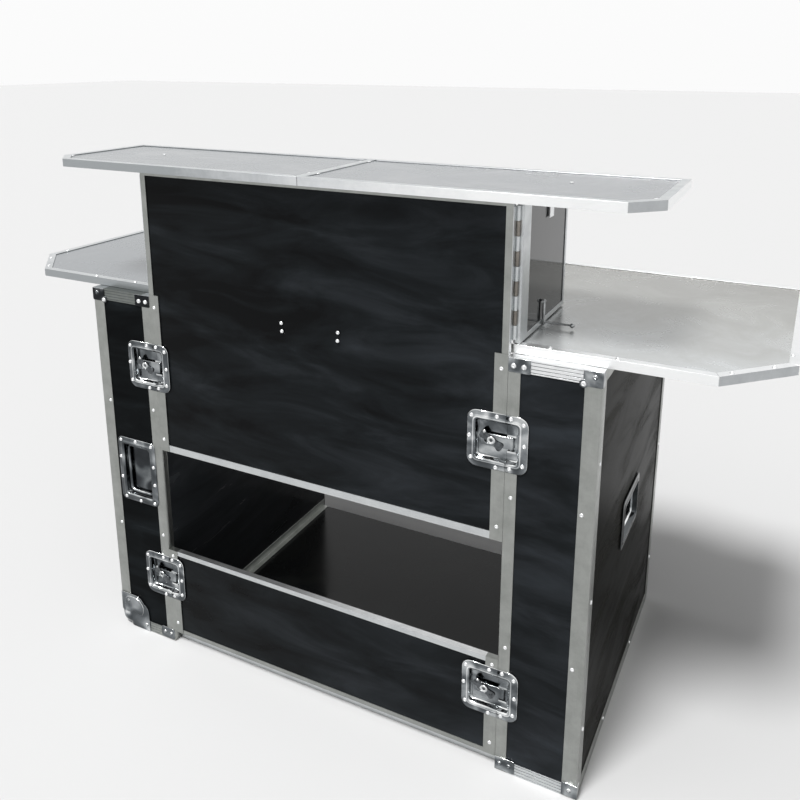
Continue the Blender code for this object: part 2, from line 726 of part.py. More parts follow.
def latch_cam(place, x, z):
    """Round cam with the butterfly wing that turns it."""
    cam = x - CAM_OFFSET
    back = FRONT + PAN_DEPTH - GAP
    front = FRONT + WING_FRONT
    start = front + WING_WALL / 2
    obj = cylinder("latch_cam_" + place, (cam, start, z), "y", CAM_RADIUS, back - start)
    reach, half, waist = WING_REACH, WING_WIDTH / 2, WING_WAIST / 2
    flat = [(-reach, -half), (0.0, -waist), (reach, -half), (reach, half), (0.0, waist), (-reach, half)]
    turn = math.radians(WING_TILT)
    cos, sin = math.cos(turn), math.sin(turn)
    turned = [(cam + a * cos - b * sin, z + a * sin + b * cos) for a, b in flat]
    wing = prism("wing", turned, "y", front, front + WING_WALL)
    join(obj, wing)
    return finish(smooth(obj), "chrome")


# Recessed handles

def swept_loop(name, half_a, half_b, corner, radius, sides=12, steps=5):
    """A round rod bent into a closed rounded rectangle, flat in X and Y."""
    path = rounded(-half_a, half_a, -half_b, half_b, [corner] * 4, steps)
    count = len(path)
    bm = bmesh.new()
    rings = []
    for i, (a, b) in enumerate(path):
        before, after = path[i - 1], path[(i + 1) % count]
        along = Vector((after[0] - before[0], after[1] - before[1], 0.0)).normalized()
        across = Vector((along.y, -along.x, 0.0))
        ring = []
        for k in range(sides):
            turn = 2 * math.pi * k / sides
            ring.append(bm.verts.new(Vector((a, b, 0.0)) + across * radius * math.cos(turn)
                                     + Vector((0.0, 0.0, radius * math.sin(turn)))))
        rings.append(ring)
    for i in range(count):
        ring, following = rings[i], rings[(i + 1) % count]
        for k in range(sides):
            following_k = (k + 1) % sides
            bm.faces.new((ring[k], ring[following_k], following[following_k], following[k]))
    return smooth(from_bmesh(name, bm))


def handle(name, outlines, axis, face, direction):
    """A dish, and its bail still flat round the origin, with the bail's depth and half width."""
    rim, pan, inner, _ = outlines
    seat = face - direction * GAP
    dish = prism("handle_dish_" + name, rim, axis, seat - direction * CHROME, seat)
    bottom = face + direction * (HANDLE_DEPTH + CHROME)
    join(dish, prism("pan", pan, axis, seat - direction * CHROME / 2, bottom))
    cut(dish, prism("inner", inner, axis, seat - direction * HANDLE_DEPTH, face + direction * HANDLE_DEPTH))
    finish(dish, "chrome")
    margin = HANDLE_RIM + CHROME + BAIL_PLAY + BAIL_ROD
    long_half, short_half = HANDLE_LONG / 2 - margin, HANDLE_SHORT / 2 - margin
    bail = swept_loop("handle_bail_" + name, long_half, short_half, BAIL_CORNER, BAIL_ROD)
    depth = face + direction * (HANDLE_DEPTH - BAIL_ROD - BAIL_PLAY)
    return bail, depth, short_half


def seat_bail(bail, to_world, pivot):
    """Turn the flat loop onto its face and set its origin on the joint's axis."""
    bail.data.transform(to_world)
    bail.data.transform(Matrix.Translation(-Vector(pivot)))
    bail.location = pivot
    return finish(bail, "chrome")


def front_handle():
    u, v = -FRONT_HANDLE_X, HANDLE_HEIGHT
    bail, depth, short_half = handle("front", FRONT_HANDLE, "y", FRONT, 1)
    turn = Matrix(((0, 1, 0, u), (0, 0, 1, depth), (1, 0, 0, v), (0, 0, 0, 1)))
    return seat_bail(bail, turn, (u - short_half, depth, v))


def side_handle():
    u, v = SIDE_HANDLE_Y, HANDLE_HEIGHT
    bail, depth, short_half = handle("side", SIDE_HANDLE, "x", OUT, -1)
    turn = Matrix(((0, 0, 1, depth), (1, 0, 0, u), (0, 1, 0, v), (0, 0, 0, 1)))
    return seat_bail(bail, turn, (depth, u, v + short_half))


def set_origin(obj, point):
    """Put a node's origin on its joint's axis without moving the node."""
    obj.data.transform(Matrix.Translation(-Vector(point)))
    obj.location = point


# Assembly

for side, name in ((-1, "left"), (1, "right")):
    case_box(side, name)
    outer_stile(side, name)
    seam_stile(side, name)
    rail(side, name, True)
    rail(side, name, False)
    side_edging(side, name)
    base_angle(side, name)
ball_corner()

panel("upper_panel", UPPER_BOTTOM, UPPER_TOP, (UPPER_STRIP, UPPER_TOP_STRIP), STILE_TOP, ["upper"])
panel("lower_panel", LOWER_BOTTOM, LOWER_TOP, (LOWER_STRIP, LOWER_TOP_STRIP), LOWER_TOP, ["lower"])
base_board()

top_halves("worktop", WORKTOP_SPAN, FRONT + WORKTOP_FRONT, FRONT + WORKTOP_BACK, WORKTOP_CHAMFER,
           WORKTOP_BOTTOM)
top_halves("counter", COUNTER_SPAN, FRONT - COUNTER_OVERHANG, FRONT + COUNTER_BACK, COUNTER_CHAMFER,
           COUNTER_BOTTOM)
worktop_bracket()

for side, name in ((-1, "left"), (1, "right")):
    hinge = (side * HINGE_X, HINGE_Y, RETURN_BOTTOM)
    for piece in side_return(side, name):
        set_origin(piece, hinge)
    hinge_leaf(side, name, True)
    set_origin(hinge_leaf(side, name, False), hinge)
    drop_bolt(side, name)

for place, (seam_x, seam_z) in LATCHES.items():
    latch_dish(place, seam_x, seam_z)
    latch_keeper(place, seam_x, seam_z)
    latch_hook(place, seam_x, seam_z)
    set_origin(latch_cam(place, seam_x, seam_z), (seam_x - CAM_OFFSET, FRONT, seam_z))

front_handle()
side_handle()
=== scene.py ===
import math

import bmesh
import bpy
from mathutils import Matrix, Vector


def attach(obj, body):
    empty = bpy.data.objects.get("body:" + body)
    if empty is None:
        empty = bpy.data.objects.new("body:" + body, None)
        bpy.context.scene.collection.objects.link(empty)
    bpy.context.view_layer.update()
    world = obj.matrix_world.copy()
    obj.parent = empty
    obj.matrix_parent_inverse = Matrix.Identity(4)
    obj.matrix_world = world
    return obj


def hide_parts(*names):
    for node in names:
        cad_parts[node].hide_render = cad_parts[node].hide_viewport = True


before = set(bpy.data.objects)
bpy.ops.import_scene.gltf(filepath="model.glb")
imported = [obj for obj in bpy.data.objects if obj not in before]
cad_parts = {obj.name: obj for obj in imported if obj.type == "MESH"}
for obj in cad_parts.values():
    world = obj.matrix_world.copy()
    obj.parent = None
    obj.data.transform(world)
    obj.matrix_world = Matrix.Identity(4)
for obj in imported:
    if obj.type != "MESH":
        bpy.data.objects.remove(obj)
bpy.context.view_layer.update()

# Case boards. Each case is a box of 9 mm plywood, glued and open at the back, faced with gloss
# black phenolic laminate. The base board and the boards of the panels and returns are cut from
# the same sheet.


def linear(code):
    """Shader colour of an sRGB hex code."""
    parts = [int(code[i:i + 2], 16) / 255 for i in (1, 3, 5)]
    return [p / 12.92 if p <= 0.04045 else ((p + 0.055) / 1.055) ** 2.4 for p in parts] + [1.0]


def add(tree, kind, inputs=(), **settings):
    """Add a node with its properties. Each input gets its value, or the socket that feeds it."""
    node = tree.nodes.new(kind)
    for name, value in settings.items():
        setattr(node, name, value)
    for name, value in dict(inputs).items():
        if isinstance(value, bpy.types.NodeSocket):
            tree.links.new(value, node.inputs[name])
        else:
            node.inputs[name].default_value = value
    return node


def calc(tree, operation, *operands):
    """Result of a math node on numbers and sockets."""
    return add(tree, "ShaderNodeMath", enumerate(operands), operation=operation).outputs[0]


def noise(tree, place, scale, detail, roughness=0.5, distortion=0.0):
    inputs = {"Vector": place, "Scale": scale, "Detail": detail, "Roughness": roughness, "Distortion": distortion}
    return add(tree, "ShaderNodeTexNoise", inputs).outputs["Fac"]


def spread(tree, value, low, high, to_low, to_high):
    """One range of values spread over another."""
    inputs = {"Value": value, "From Min": low, "From Max": high, "To Min": to_low, "To Max": to_high}
    return add(tree, "ShaderNodeMapRange", inputs).outputs["Result"]


def new_material(name):
    mat = bpy.data.materials.new(name)
    mat.use_nodes = True
    mat.node_tree.nodes.clear()
    return mat, mat.node_tree


def ramp(tree, factor, stops):
    """Colours along a 0 to 1 factor."""
    node = add(tree, "ShaderNodeValToRGB", {"Fac": factor})
    bar = node.color_ramp
    while len(bar.elements) < len(stops):
        bar.elements.new(0.5)
    for element, (place, code) in zip(bar.elements, stops):
        element.position = place
        element.color = linear(code)
    return node.outputs["Color"]


def finish_surface(tree, values, colour, rough, relief=None):
    """Surface with its colour and roughness. A relief is a height, with a bump's strength and distance."""
    inputs = dict(values, **{"Base Color": colour, "Roughness": rough})
    if relief:
        bump = add(tree, "ShaderNodeBump", zip(("Height", "Strength", "Distance"), relief))
        inputs["Normal"] = bump.outputs["Normal"]
    shader = add(tree, "ShaderNodeBsdfPrincipled", inputs)
    add(tree, "ShaderNodeOutputMaterial", {"Surface": shader.outputs["BSDF"]})


def phenolic_laminate(name, ior, dull, tones, painted_light_drift=(0.0, 0.0, 0.0)):
    """Pressed phenolic laminate: near-black gloss, wiped smears, a faint orange peel, and a tone that pales along a
    direction as painted light and reflection.
    """
    mat, tree = new_material(name)
    place = add(tree, "ShaderNodeTexCoord").outputs["Object"]
    wiped = add(tree, "ShaderNodeVectorMath", {0: place, 1: (1.6, 1.6, 6.5)}, operation="MULTIPLY").outputs["Vector"]
    smear = noise(tree, wiped, 2.2, 7.0, 0.6, 0.7)
    along = add(tree, "ShaderNodeVectorMath", {0: place, 1: painted_light_drift}, operation="DOT_PRODUCT").outputs["Value"]
    colour = ramp(tree, calc(tree, "ADD", along, smear), list(zip((0.34, 0.52, 0.66, 0.78), tones)))
    dust, wave = noise(tree, place, 420.0, 2.0), noise(tree, place, 6.0, 1.0)
    height = calc(tree, "MULTIPLY_ADD", dust, 0.012, wave)
    finish_surface(tree, {"IOR": ior}, colour, spread(tree, smear, 0.35, 0.7, 0.06, dull), (height, 0.25, 0.002))
    return mat


# Painted light: the handled laminate pales towards +X.
LAMINATE = phenolic_laminate("gloss phenolic laminate, handled", 1.15, 0.24,
                             ("#0a0b0c", "#15181a", "#202326", "#282c30"), (0.22, 0.0, 0.0))
BASE_LAMINATE = phenolic_laminate("gloss phenolic laminate, trodden", 1.25, 0.24,
                                  ("#101213", "#181a1b", "#222422", "#2e312e"))
# Painted shade: a darker, matt copy of the laminate for the left case's front.
SHADED_LAMINATE = phenolic_laminate("gloss phenolic laminate, matt, painted shade", 1.06, 0.3,
                                    ("#0b0c0d", "#111314", "#181b1d", "#24282a"))
CLEAN_LAMINATE = phenolic_laminate("gloss phenolic laminate, clean", 1.6, 0.1,
                                   ("#0d0f10", "#131517", "#1c1f22", "#282c30"))
# Dust and painted reflection: a copy with almost no gloss, in an olive tone that pales upward, for the cases' outer
# sides.
DUSTY_REFLECTION_LAMINATE = phenolic_laminate("gloss phenolic laminate, dusty, painted reflection", 1.035, 0.4,
                                   ("#171715", "#191917", "#1f1f1c", "#2e2e2a"), (0.0, 0.0, 0.16))
INNER_LAMINATE = phenolic_laminate("gloss phenolic laminate, inside", 1.3, 0.3,
                                   ("#202325", "#282b2e", "#303336", "#3a3d40"))

SIDES = {"left": -1, "right": 1}
OUT = 0.545             # outer and inner face of each case
IN = 0.389
FRONT = -0.3135
BACK = 0.3385
CASE_HEIGHT = 0.825
WALL = 0.0015


def paint(node, mat):
    """Give a CAD node that stays as it is a finish."""
    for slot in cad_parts[node].material_slots:
        slot.material = mat


def merged(node):
    """Copy of a CAD node's mesh with its loose triangles joined into flat faces."""
    bm = bmesh.new()
    bm.from_mesh(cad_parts[node].data)
    bmesh.ops.remove_doubles(bm, verts=bm.verts, dist=2e-5)
    bmesh.ops.dissolve_limit(bm, angle_limit=math.radians(0.5), verts=bm.verts, edges=bm.edges)
    return bm


def in_scene(name, data):
    obj = bpy.data.objects.new(name, data)
    bpy.context.scene.collection.objects.link(obj)
    return obj


def to_object(bm, name, mats):
    mesh = bpy.data.meshes.new(name)
    bm.to_mesh(mesh)
    bm.free()
    for mat in mats:
        mesh.materials.append(mat)
    return in_scene(name, mesh)


def place_piece(obj, body, slot, *nodes):
    """Let a finished piece ride on its body and stand for its CAD nodes. The slot is not used."""
    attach(obj, body)
    if nodes:
        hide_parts(*nodes)
    return obj


def stand_in(bm, node, suffix, mats, body="bar"):
    """The finished piece that stands for one CAD node."""
    return place_piece(to_object(bm, node + suffix, mats), body, node, node)


for board in ("upper_panel_board", "lower_panel_board"):
    paint(board, LAMINATE)
# The left case's front takes the darker copy: painted shade.
paint("case_front_left", SHADED_LAMINATE)
for side, sign in SIDES.items():
    bm = merged("case_box_" + side)
    for face in bm.faces:
        middle = face.calc_center_median()
        # The outer side faces take the dusty copy with its painted reflection.
        if sign * face.normal.x > 0.9 and sign * middle.x > OUT - 0.01:
            face.material_index = 1
        elif face.normal.y > -0.9 or middle.y > 0:
            face.material_index = 2
    stand_in(bm, "case_box_" + side, "_boards", [LAMINATE, DUSTY_REFLECTION_LAMINATE, INNER_LAMINATE])
for board in ("return_left_board", "return_right_board"):
    paint(board, CLEAN_LAMINATE)

# Corner angles, seam angles and grooved rails of the cases. Extruded aluminium, anodised satin,
# sawn to length and riveted over the boards' edges. Their corners are eased by the die.


def drawn_aluminium(name, pale, dark, tone, painted_light_drift=0.0, mottle=1.0):
    """Extruded aluminium: fine die lines along each profile, satin, dull handled patches, and paler along X as
    painted light.
    """
    mat, tree = new_material(name)
    profile = add(tree, "ShaderNodeUVMap", uv_map="drawn").outputs["UV"]
    stretched = add(tree, "ShaderNodeVectorMath", {0: profile, 1: (6.0, 1500.0, 1.0)}, operation="MULTIPLY")
    lines = noise(tree, stretched.outputs["Vector"], 1.0, 3.0, 0.7)
    place = add(tree, "ShaderNodeTexCoord").outputs["Object"]
    patch = noise(tree, place, 28.0, 5.0, 0.65)
    mixed = calc(tree, "MULTIPLY_ADD", lines, 0.35, patch)
    mean = 0.675        # of the lines and patches mixed
    mixed = calc(tree, "MULTIPLY_ADD", mixed, mottle, mean * (1.0 - mottle))
    across = add(tree, "ShaderNodeSeparateXYZ", {0: place}).outputs["X"]
    mixed = calc(tree, "MULTIPLY_ADD", across, painted_light_drift, mixed)
    colour = ramp(tree, mixed, [(0.45, dark), (0.7, tone), (0.95, pale)])
    finish_surface(tree, {"Metallic": 1.0}, colour, spread(tree, patch, 0.3, 0.7, 0.42, 0.28), (lines, 0.12, 0.0004))
    return mat


ALUMINIUM = drawn_aluminium("satin anodised aluminium", "#a6a8a5", "#8f928e", "#9b9d9a")
# Painted shade: a darker copy of the alloy for the left top rail.
SHADED = drawn_aluminium("satin anodised aluminium, painted shade", "#868a89", "#70746f", "#7b7f7c")
# A darker copy of the alloy for the rails' grooves.
GROOVED = drawn_aluminium("satin anodised aluminium, darker in the grooves", "#74777a", "#5c5f62", "#686b6e")
# Painted shade: a greyer copy of the alloy for the tops' chamfered corners.
CHAMFER_SHADE = drawn_aluminium("drawn aluminium, painted shade on the chamfers", "#c2c5c7", "#abaeb0", "#b6b9bb")
# Wear and painted light: a lighter copy of the alloy for trims, returns, hinges, the right bottom rail and the tops'
# upper faces.
WORN_AND_LIT = drawn_aluminium("drawn aluminium, wear and painted light", "#d2d5d6", "#bfc2c4", "#c9cccd")
# Painted light: the brightest copy of the alloy, for the right top rail, lit upward faces, the seam's edges, the
# counter brackets and the rivets.
LIT_ALUMINIUM = drawn_aluminium("drawn aluminium, painted light", "#f4f5f5", "#e2e4e4", "#ecedee")
# Painted light: the tops' channels pale towards +X.
EDGING = drawn_aluminium("drawn aluminium, painted light along X", "#f8f9f9", "#a4a8aa", "#d6d8da", 0.8, 0.3)


def slice_at(bm, point, normal, clear=False):
    """Cut a mesh along a plane, and clear what lies behind it if asked."""
    bmesh.ops.bisect_plane(bm, geom=bm.verts[:] + bm.edges[:] + bm.faces[:], plane_co=point, plane_no=normal,
                           clear_inner=clear)


def ease(bm, radius, segments=2, sharp=30):
    """Round the sharp edges. Flat faces stay flat, and curved ones turn smooth."""
    limit = math.radians(sharp)
    for face in bm.faces:
        face.smooth = any(0.02 < edge.calc_face_angle(0.0) <= limit for edge in face.edges if edge.is_manifold)
    edges = [edge for edge in bm.edges if edge.is_manifold and edge.calc_face_angle() > limit]
    made = bmesh.ops.bevel(bm, geom=edges, offset=radius, offset_type="OFFSET", segments=segments, profile=0.5,
                           affect="EDGES", clamp_overlap=True)
    for face in made["faces"]:
        face.smooth = True


def lay_lines(bm, direction):
    """UV map in metres: U along the profile, V across it. The direction is a vector, or a choice by face centre."""
    layer = bm.loops.layers.uv.get("drawn") or bm.loops.layers.uv.new("drawn")
    for face in bm.faces:
        along = Vector(direction(face.calc_center_median()) if callable(direction) else direction)
        for loop in face.loops:
            co = loop.vert.co
            u = co.dot(along)
            rest = co - along * u
            loop[layer].uv = (u, rest.x + rest.y + rest.z)


PANEL_EDGE = 0.388
DRAWN_UP = {PANEL_EDGE: 0.38849, IN: 0.38854}
BEND = 0.0016           # reach of the CAD's bend at the seam
BEND_KEPT = 0.2         # share of it that is kept
GROOVE_FACE = FRONT + 0.0008


def profile_piece(node, direction, body="bar", radius=0.00035, mat=ALUMINIUM, cuts=(), finish=None):
    """Stands for an aluminium node: the same shape with eased edges, die lines along it and its seam drawn up."""
    bm = merged(node)
    for vert in bm.verts:
        across, depth = abs(vert.co.x) - IN, vert.co.y - FRONT
        if node.startswith("case_seam") and -1e-5 < across < BEND and depth < BEND:
            vert.co.x = math.copysign(IN + across * BEND_KEPT, vert.co.x)
            vert.co.y = FRONT + depth * BEND_KEPT
        for before, after in DRAWN_UP.items():
            if abs(abs(vert.co.x) - before) < 1e-5:
                vert.co.x = math.copysign(after, vert.co.x)
    for point, normal in cuts:
        slice_at(bm, point, normal)
    ease(bm, radius)
    lay_lines(bm, direction)
    if finish:
        for face in bm.faces:
            face.material_index = finish(face.calc_center_median(), face.normal)
    stand_in(bm, node, "_profile", [mat, WORN_AND_LIT, LIT_ALUMINIUM, GROOVED], body)


for side in SIDES:
    profile_piece("case_outer_stile_" + side, (0, 0, 1))
    profile_piece("case_seam_stile_" + side, (0, 0, 1), radius=0.00012)
    # Painted light and shade: the left rails take darker copies of the alloy and the right ones lighter copies.
    for rail, near, far in (("case_top_rail_", SHADED, LIT_ALUMINIUM), ("case_bottom_rail_", ALUMINIUM, WORN_AND_LIT)):
        profile_piece(rail + side, (1, 0, 0), radius=0.0001, mat=far if side == "right" else near,
                      finish=lambda c, n: 3 * int(abs(c.y - GROOVE_FACE) < 0.0004 and c.z < CASE_HEIGHT - WALL))

# Side edging. Aluminium angles along the top, foot and back of each outer side, and narrow
# angles over the other raw edges at the open back, all riveted to the boards.

EDGE_ANGLE = 0.024
SIDE_FLANGE = 0.030
RAIL_LEG = 0.020
BOARD_EDGE = 0.0108     # board and the skin over it
BACK_TRIM = 0.016
TRIM_INSET = 0.0018     # from the case's inner face
JOINT = 0.00012         # half the open line where two profiles meet
TRIM_GAP = 0.0003
CLEARANCE = 0.0002
X_WAY, Y_WAY, UP = Vector((1, 0, 0)), Vector((0, 1, 0)), Vector((0, 0, 1))


def band(bm, ring, following):
    """Faces that join two rings with the same number of points."""
    count = len(ring)
    return [bm.faces.new((ring[i], ring[(i + 1) % count], following[(i + 1) % count], following[i]))
            for i in range(count)]


def outward(bm):
    bmesh.ops.recalc_face_normals(bm, faces=bm.faces)


def join(whole, bm):
    """Move a finished part into a larger mesh."""
    part = bpy.data.meshes.new("part")
    bm.to_mesh(part)
    bm.free()
    whole.from_mesh(part)
    bpy.data.meshes.remove(part)


def run_profile(bm, start, end, inward, up, section, slants=(0.0, 0.0)):
    """A straight profile from start to end. Section points are distances inward and up; a slant cuts an end."""
    along = (end - start).normalized()
    rings = []
    for point, slant, sign in ((start, slants[0], 1), (end, slants[1], -1)):
        rings.append([bm.verts.new(point + along * sign * (slant * d + JOINT) + inward * d + up * h)
                      for d, h in section])
    band(bm, *rings)
    bm.faces.new(rings[0][::-1])
    bm.faces.new(rings[1])
    return along


def profile_set(runs, radius=0.0003):
    """Several straight profiles in one mesh, each with eased edges and die lines along it."""
    whole = bmesh.new()
    for run in runs:
        bm = bmesh.new()
        along = run_profile(bm, *run)
        outward(bm)
        ease(bm, radius)
        lay_lines(bm, along)
        join(whole, bm)
    return whole


def angle_section(leg):
    return [(0, 0), (0, EDGE_ANGLE), (WALL, EDGE_ANGLE), (WALL, WALL), (leg, WALL), (leg, 0)]


for side, sign in SIDES.items():
    outer, start, way_in = sign * OUT, FRONT + SIDE_FLANGE + TRIM_GAP, Vector((-sign, 0, 0))
    runs = [(Vector((outer, start, z)), Vector((outer, BACK - EDGE_ANGLE, z)), way_in, up, angle_section(RAIL_LEG))
            for z, up in ((0, UP), (CASE_HEIGHT, -UP))]
    runs.append((Vector((outer, BACK, 0)), Vector((outer, BACK, CASE_HEIGHT)), way_in, -Y_WAY,
                 angle_section(BOARD_EDGE)))
    stand_in(profile_set(runs), "case_side_edging_" + side, "_profile", [ALUMINIUM])
    seat, low, high = BACK - WALL - TRIM_GAP, WALL + TRIM_GAP, CASE_HEIGHT - WALL - TRIM_GAP
    strip = [(0, 0), (BACK_TRIM, 0), (BACK_TRIM, WALL), (0, WALL)]
    inner, outer = sign * (IN + TRIM_INSET), sign * (OUT - BOARD_EDGE - CLEARANCE)
    runs = [(Vector((inner, seat, low)), Vector((inner, seat, high)), -way_in, Y_WAY, strip)]
    runs += [(Vector((inner + sign * BACK_TRIM, seat, z)), Vector((outer, seat, z)), way, Y_WAY, strip)
             for z, way in ((low, UP), (high, -UP))]
    trims = to_object(profile_set(runs), "case_back_trims_" + side, [ALUMINIUM])
    place_piece(trims, "bar", "case_side_edging_" + side)

# Base angles. Light aluminium angles screwed into the corners between the base board and the
# cases, the board's front edge, bound in aluminium strip, and the heavier angle under the joint
# of the worktop.

bm = merged("base_board")
for face in bm.faces:
    face.material_index = int(face.normal.y < -0.9)
lay_lines(bm, X_WAY)
stand_in(bm, "base_board", "_bound", [BASE_LAMINATE, WORN_AND_LIT])
for side in SIDES:
    profile_piece("base_angle_" + side, (0, 1, 0))
profile_piece("worktop_bracket", (1, 0, 0))

# Panel channels. The black front panels sit in thin aluminium channel, with wide flat stiles
# riveted down both sides, which stand a little proud and run past the top as a cap.

WIDE_STILE = 0.0235
STILE_START = PANEL_EDGE - WIDE_STILE
WINDOW = (0.2, 0.52)    # heights between which the panels' edges at the window lie


def panel_finish(middle, normal):
    """Painted light: lighter copies along the window, the brightest on its upward faces, and on the stiles' edges at
    the seam.
    """
    if abs(middle.x) < STILE_START:
        return int(WINDOW[0] < middle.z < WINDOW[1]) * (2 if normal.z > 0.5 else 1)
    return 2 * int(abs(normal.x) > 0.9 and abs(middle.x) > PANEL_EDGE)


for panel in ("upper_panel", "lower_panel"):
    profile_piece(panel + "_edge", lambda c: UP if abs(c.x) > STILE_START else X_WAY, radius=0.00012,
                  cuts=[((-STILE_START, 0, 0), X_WAY), ((STILE_START, 0, 0), X_WAY)], finish=panel_finish)

# Worktop and counter. Two halves each: plywood faced with thin polished aluminium sheet, in a
# channel of aluminium that is mitred at the corners and riveted from above.

WORKTOP_BOTTOM = 0.8253
COUNTER_BOTTOM = 1.084
TOP_THICKNESS = 0.016
TOP_LEG = 0.015
SEAM_LEG = 0.008
HALVES_GAP = 0.0003


def polished_sheet(name, tones, painted_light_slope=0.0):
    """Rolled aluminium sheet: soft mirror with a fine grain and cloudy wiped patches, paler towards the front as
    painted light.
    """
    mat, tree = new_material(name)
    place = add(tree, "ShaderNodeTexCoord").outputs["Object"]
    cloud, grain = noise(tree, place, 9.0, 6.0, 0.65, 0.8), noise(tree, place, 300.0, 4.0, 0.75)
    depth = add(tree, "ShaderNodeSeparateXYZ", {0: place}).outputs["Y"]
    mixed = calc(tree, "MULTIPLY_ADD", grain, 0.12, calc(tree, "MULTIPLY_ADD", cloud, 0.5, 0.25))
    mixed = calc(tree, "MULTIPLY_ADD", depth, -painted_light_slope, mixed)
    colour = ramp(tree, mixed, list(zip((0.3, 0.56, 0.86), tones)))
    finish_surface(tree, {"Metallic": 0.5}, colour, spread(tree, cloud, 0.3, 0.7, 0.2, 0.3), (grain, 0.012, 0.0001))
    return mat


# Painted light: the right worktop's sheet pales towards the front.
SHEET = polished_sheet("polished aluminium sheet", ("#8f8f8b", "#a9aaa7", "#c9cccd"), 0.85)
# A darker copy of the sheet for the counter and the left worktop.
DARKER_SHEET = polished_sheet("polished aluminium sheet, darker", ("#868a8d", "#8d9194", "#999c9f"))


def channel_section(leg, depth):
    """Section of a channel with two legs, as distances inward and up."""
    return [(0, 0), (leg, 0), (leg, WALL), (WALL, WALL), (WALL, depth - WALL), (leg, depth - WALL), (leg, depth),
            (0, depth)]


def mitred_channel(outline, legs, up, depth):
    """Channel round a flat outline, one run for each side, mitred where two sides meet."""
    centre = sum(outline, Vector()) / len(outline)
    ways = [(end - start).normalized() for start, end in zip(outline, outline[1:] + outline[:1])]
    turns = [math.tan(before.angle(after) / 2) for before, after in zip(ways[-1:] + ways[:-1], ways)]
    runs = []
    for i, (start, along) in enumerate(zip(outline, ways)):
        following = (i + 1) % len(outline)
        inward = up.cross(along)
        if inward.dot(centre - start) < 0:
            inward = -inward
        runs.append((start, outline[following], inward, up, channel_section(legs[i], depth),
                     (turns[i], turns[following])))
    return runs


# Height, half length, front, back, cut-off corner, and the bodies of the left and the right half
TOPS = {
    "worktop": (WORKTOP_BOTTOM, 0.817, FRONT + 0.020, FRONT + 0.610, 0.105, "bar", "bar"),
    "counter": (COUNTER_BOTTOM, 0.618, FRONT - 0.025, FRONT + 0.255, 0.048, "counter_left", "counter_right"),
}
for top, (bottom, half, front, back, cut, *bodies) in TOPS.items():
    for (side, sign), body in zip(SIDES.items(), bodies):
        corners = [(HALVES_GAP, front), (half - cut, front), (half, front + cut), (half, back), (HALVES_GAP, back)]
        outline = [Vector((sign * x, y, bottom)) for x, y in corners]
        bm = profile_set(mitred_channel(outline, [TOP_LEG] * 4 + [SEAM_LEG], UP, TOP_THICKNESS))
        # Painted light and shade: upper faces take a lit copy, brightest on the right worktop, chamfers a greyer one,
        # and the right worktop the lit sheet.
        for face in bm.faces:
            if face.normal.z > 0.9:
                face.material_index = 1
            elif abs(face.normal.x) > 0.5 and face.normal.y < -0.3:
                face.material_index = 2
        over, sheet = (LIT_ALUMINIUM, SHEET) if (top, side) == ("worktop", "right") else (WORN_AND_LIT, DARKER_SHEET)
        stand_in(bm, "%s_%s_edge" % (top, side), "_profile", [EDGING, over, CHAMFER_SHADE], body)
        paint("%s_%s_board" % (top, side), sheet)

# Side returns. Black boards in aluminium channel, with a wide flat stile at the hinged end. They
# stand on the worktop and carry the counter, and fold in behind the upper panel.

RETURN_OUTER = 0.4003
RETURN_BOARD = 0.012
RETURN_FRONT = -0.2919
RETURN_LENGTH = 0.2545
RETURN_BOTTOM = 0.8423
RETURN_TOP = 1.083
RETURN_STILE = 0.036
RETURN_EDGE = 0.009

for side, sign in SIDES.items():
    x, depth_way = sign * RETURN_OUTER, Vector((-sign, 0, 0))
    near, far = RETURN_FRONT, RETURN_FRONT + RETURN_LENGTH
    stile, thin = channel_section(RETURN_STILE, RETURN_BOARD), channel_section(RETURN_EDGE, RETURN_BOARD)
    runs = [(Vector((x, y, RETURN_BOTTOM)), Vector((x, y, RETURN_TOP)), way, depth_way, section)
            for y, way, section in ((near, Y_WAY, stile), (far, -Y_WAY, thin))]
    runs += [(Vector((x, near + RETURN_STILE, z)), Vector((x, far - RETURN_EDGE, z)), way, depth_way, thin)
             for z, way in ((RETURN_BOTTOM, UP), (RETURN_TOP, -UP))]
    stand_in(profile_set(runs), "return_%s_edge" % side, "_profile", [WORN_AND_LIT], "return_" + side)

# Drop bolts. A dark plated steel rod in a saddle on the return, with a short lever that ends in a
# round knob.


def plated_steel(name, dark, pale):
    """Zinc-plated steel: smooth, greasy gloss with slightly mottled plating."""
    mat, tree = new_material(name)
    mottle = noise(tree, add(tree, "ShaderNodeTexCoord").outputs["Object"], 160.0, 4.0)
    colour = ramp(tree, mottle, [(0.35, dark), (0.65, pale)])
    finish_surface(tree, {"Metallic": 1.0}, colour, spread(tree, mottle, 0.0, 1.0, 0.2, 0.4))
    return mat


STEEL = plated_steel("zinc-plated steel", "#8d8f90", "#b3b5b6")
BLACK_STEEL = plated_steel("black zinc-plated steel", "#45484a", "#686b6e")
BOLT_X = 0.4031
BOLT_Y = FRONT + 0.140
SADDLE_REACH = 0.0036
SADDLE_WALL = 0.001
SADDLE_FOOT = 0.009
SADDLE_HEIGHT = 0.004
SADDLE_Z = 0.8825       # clear of the lever when the bolt is lifted
SKIN_GAP = 0.0001       # between a fitting and the face it lies on


def smooth_copy(node, body, mat, radius):
    """Stands for a node of turned and flat faces: the same shape with eased edges."""
    bm = merged(node)
    ease(bm, radius)
    stand_in(bm, node, "_eased", [mat], body)


def extrude_outline(bm, outline, origin, ways, thickness):
    """Solid from a flat outline. The ways are the outline's two directions and the one in which it grows."""
    first, second, grow = ways
    lower = [bm.verts.new(Vector(origin) + first * a + second * b) for a, b in outline]
    upper = [bm.verts.new(v.co + grow * thickness) for v in lower]
    bm.faces.new(lower[::-1])
    bm.faces.new(upper)
    band(bm, lower, upper)


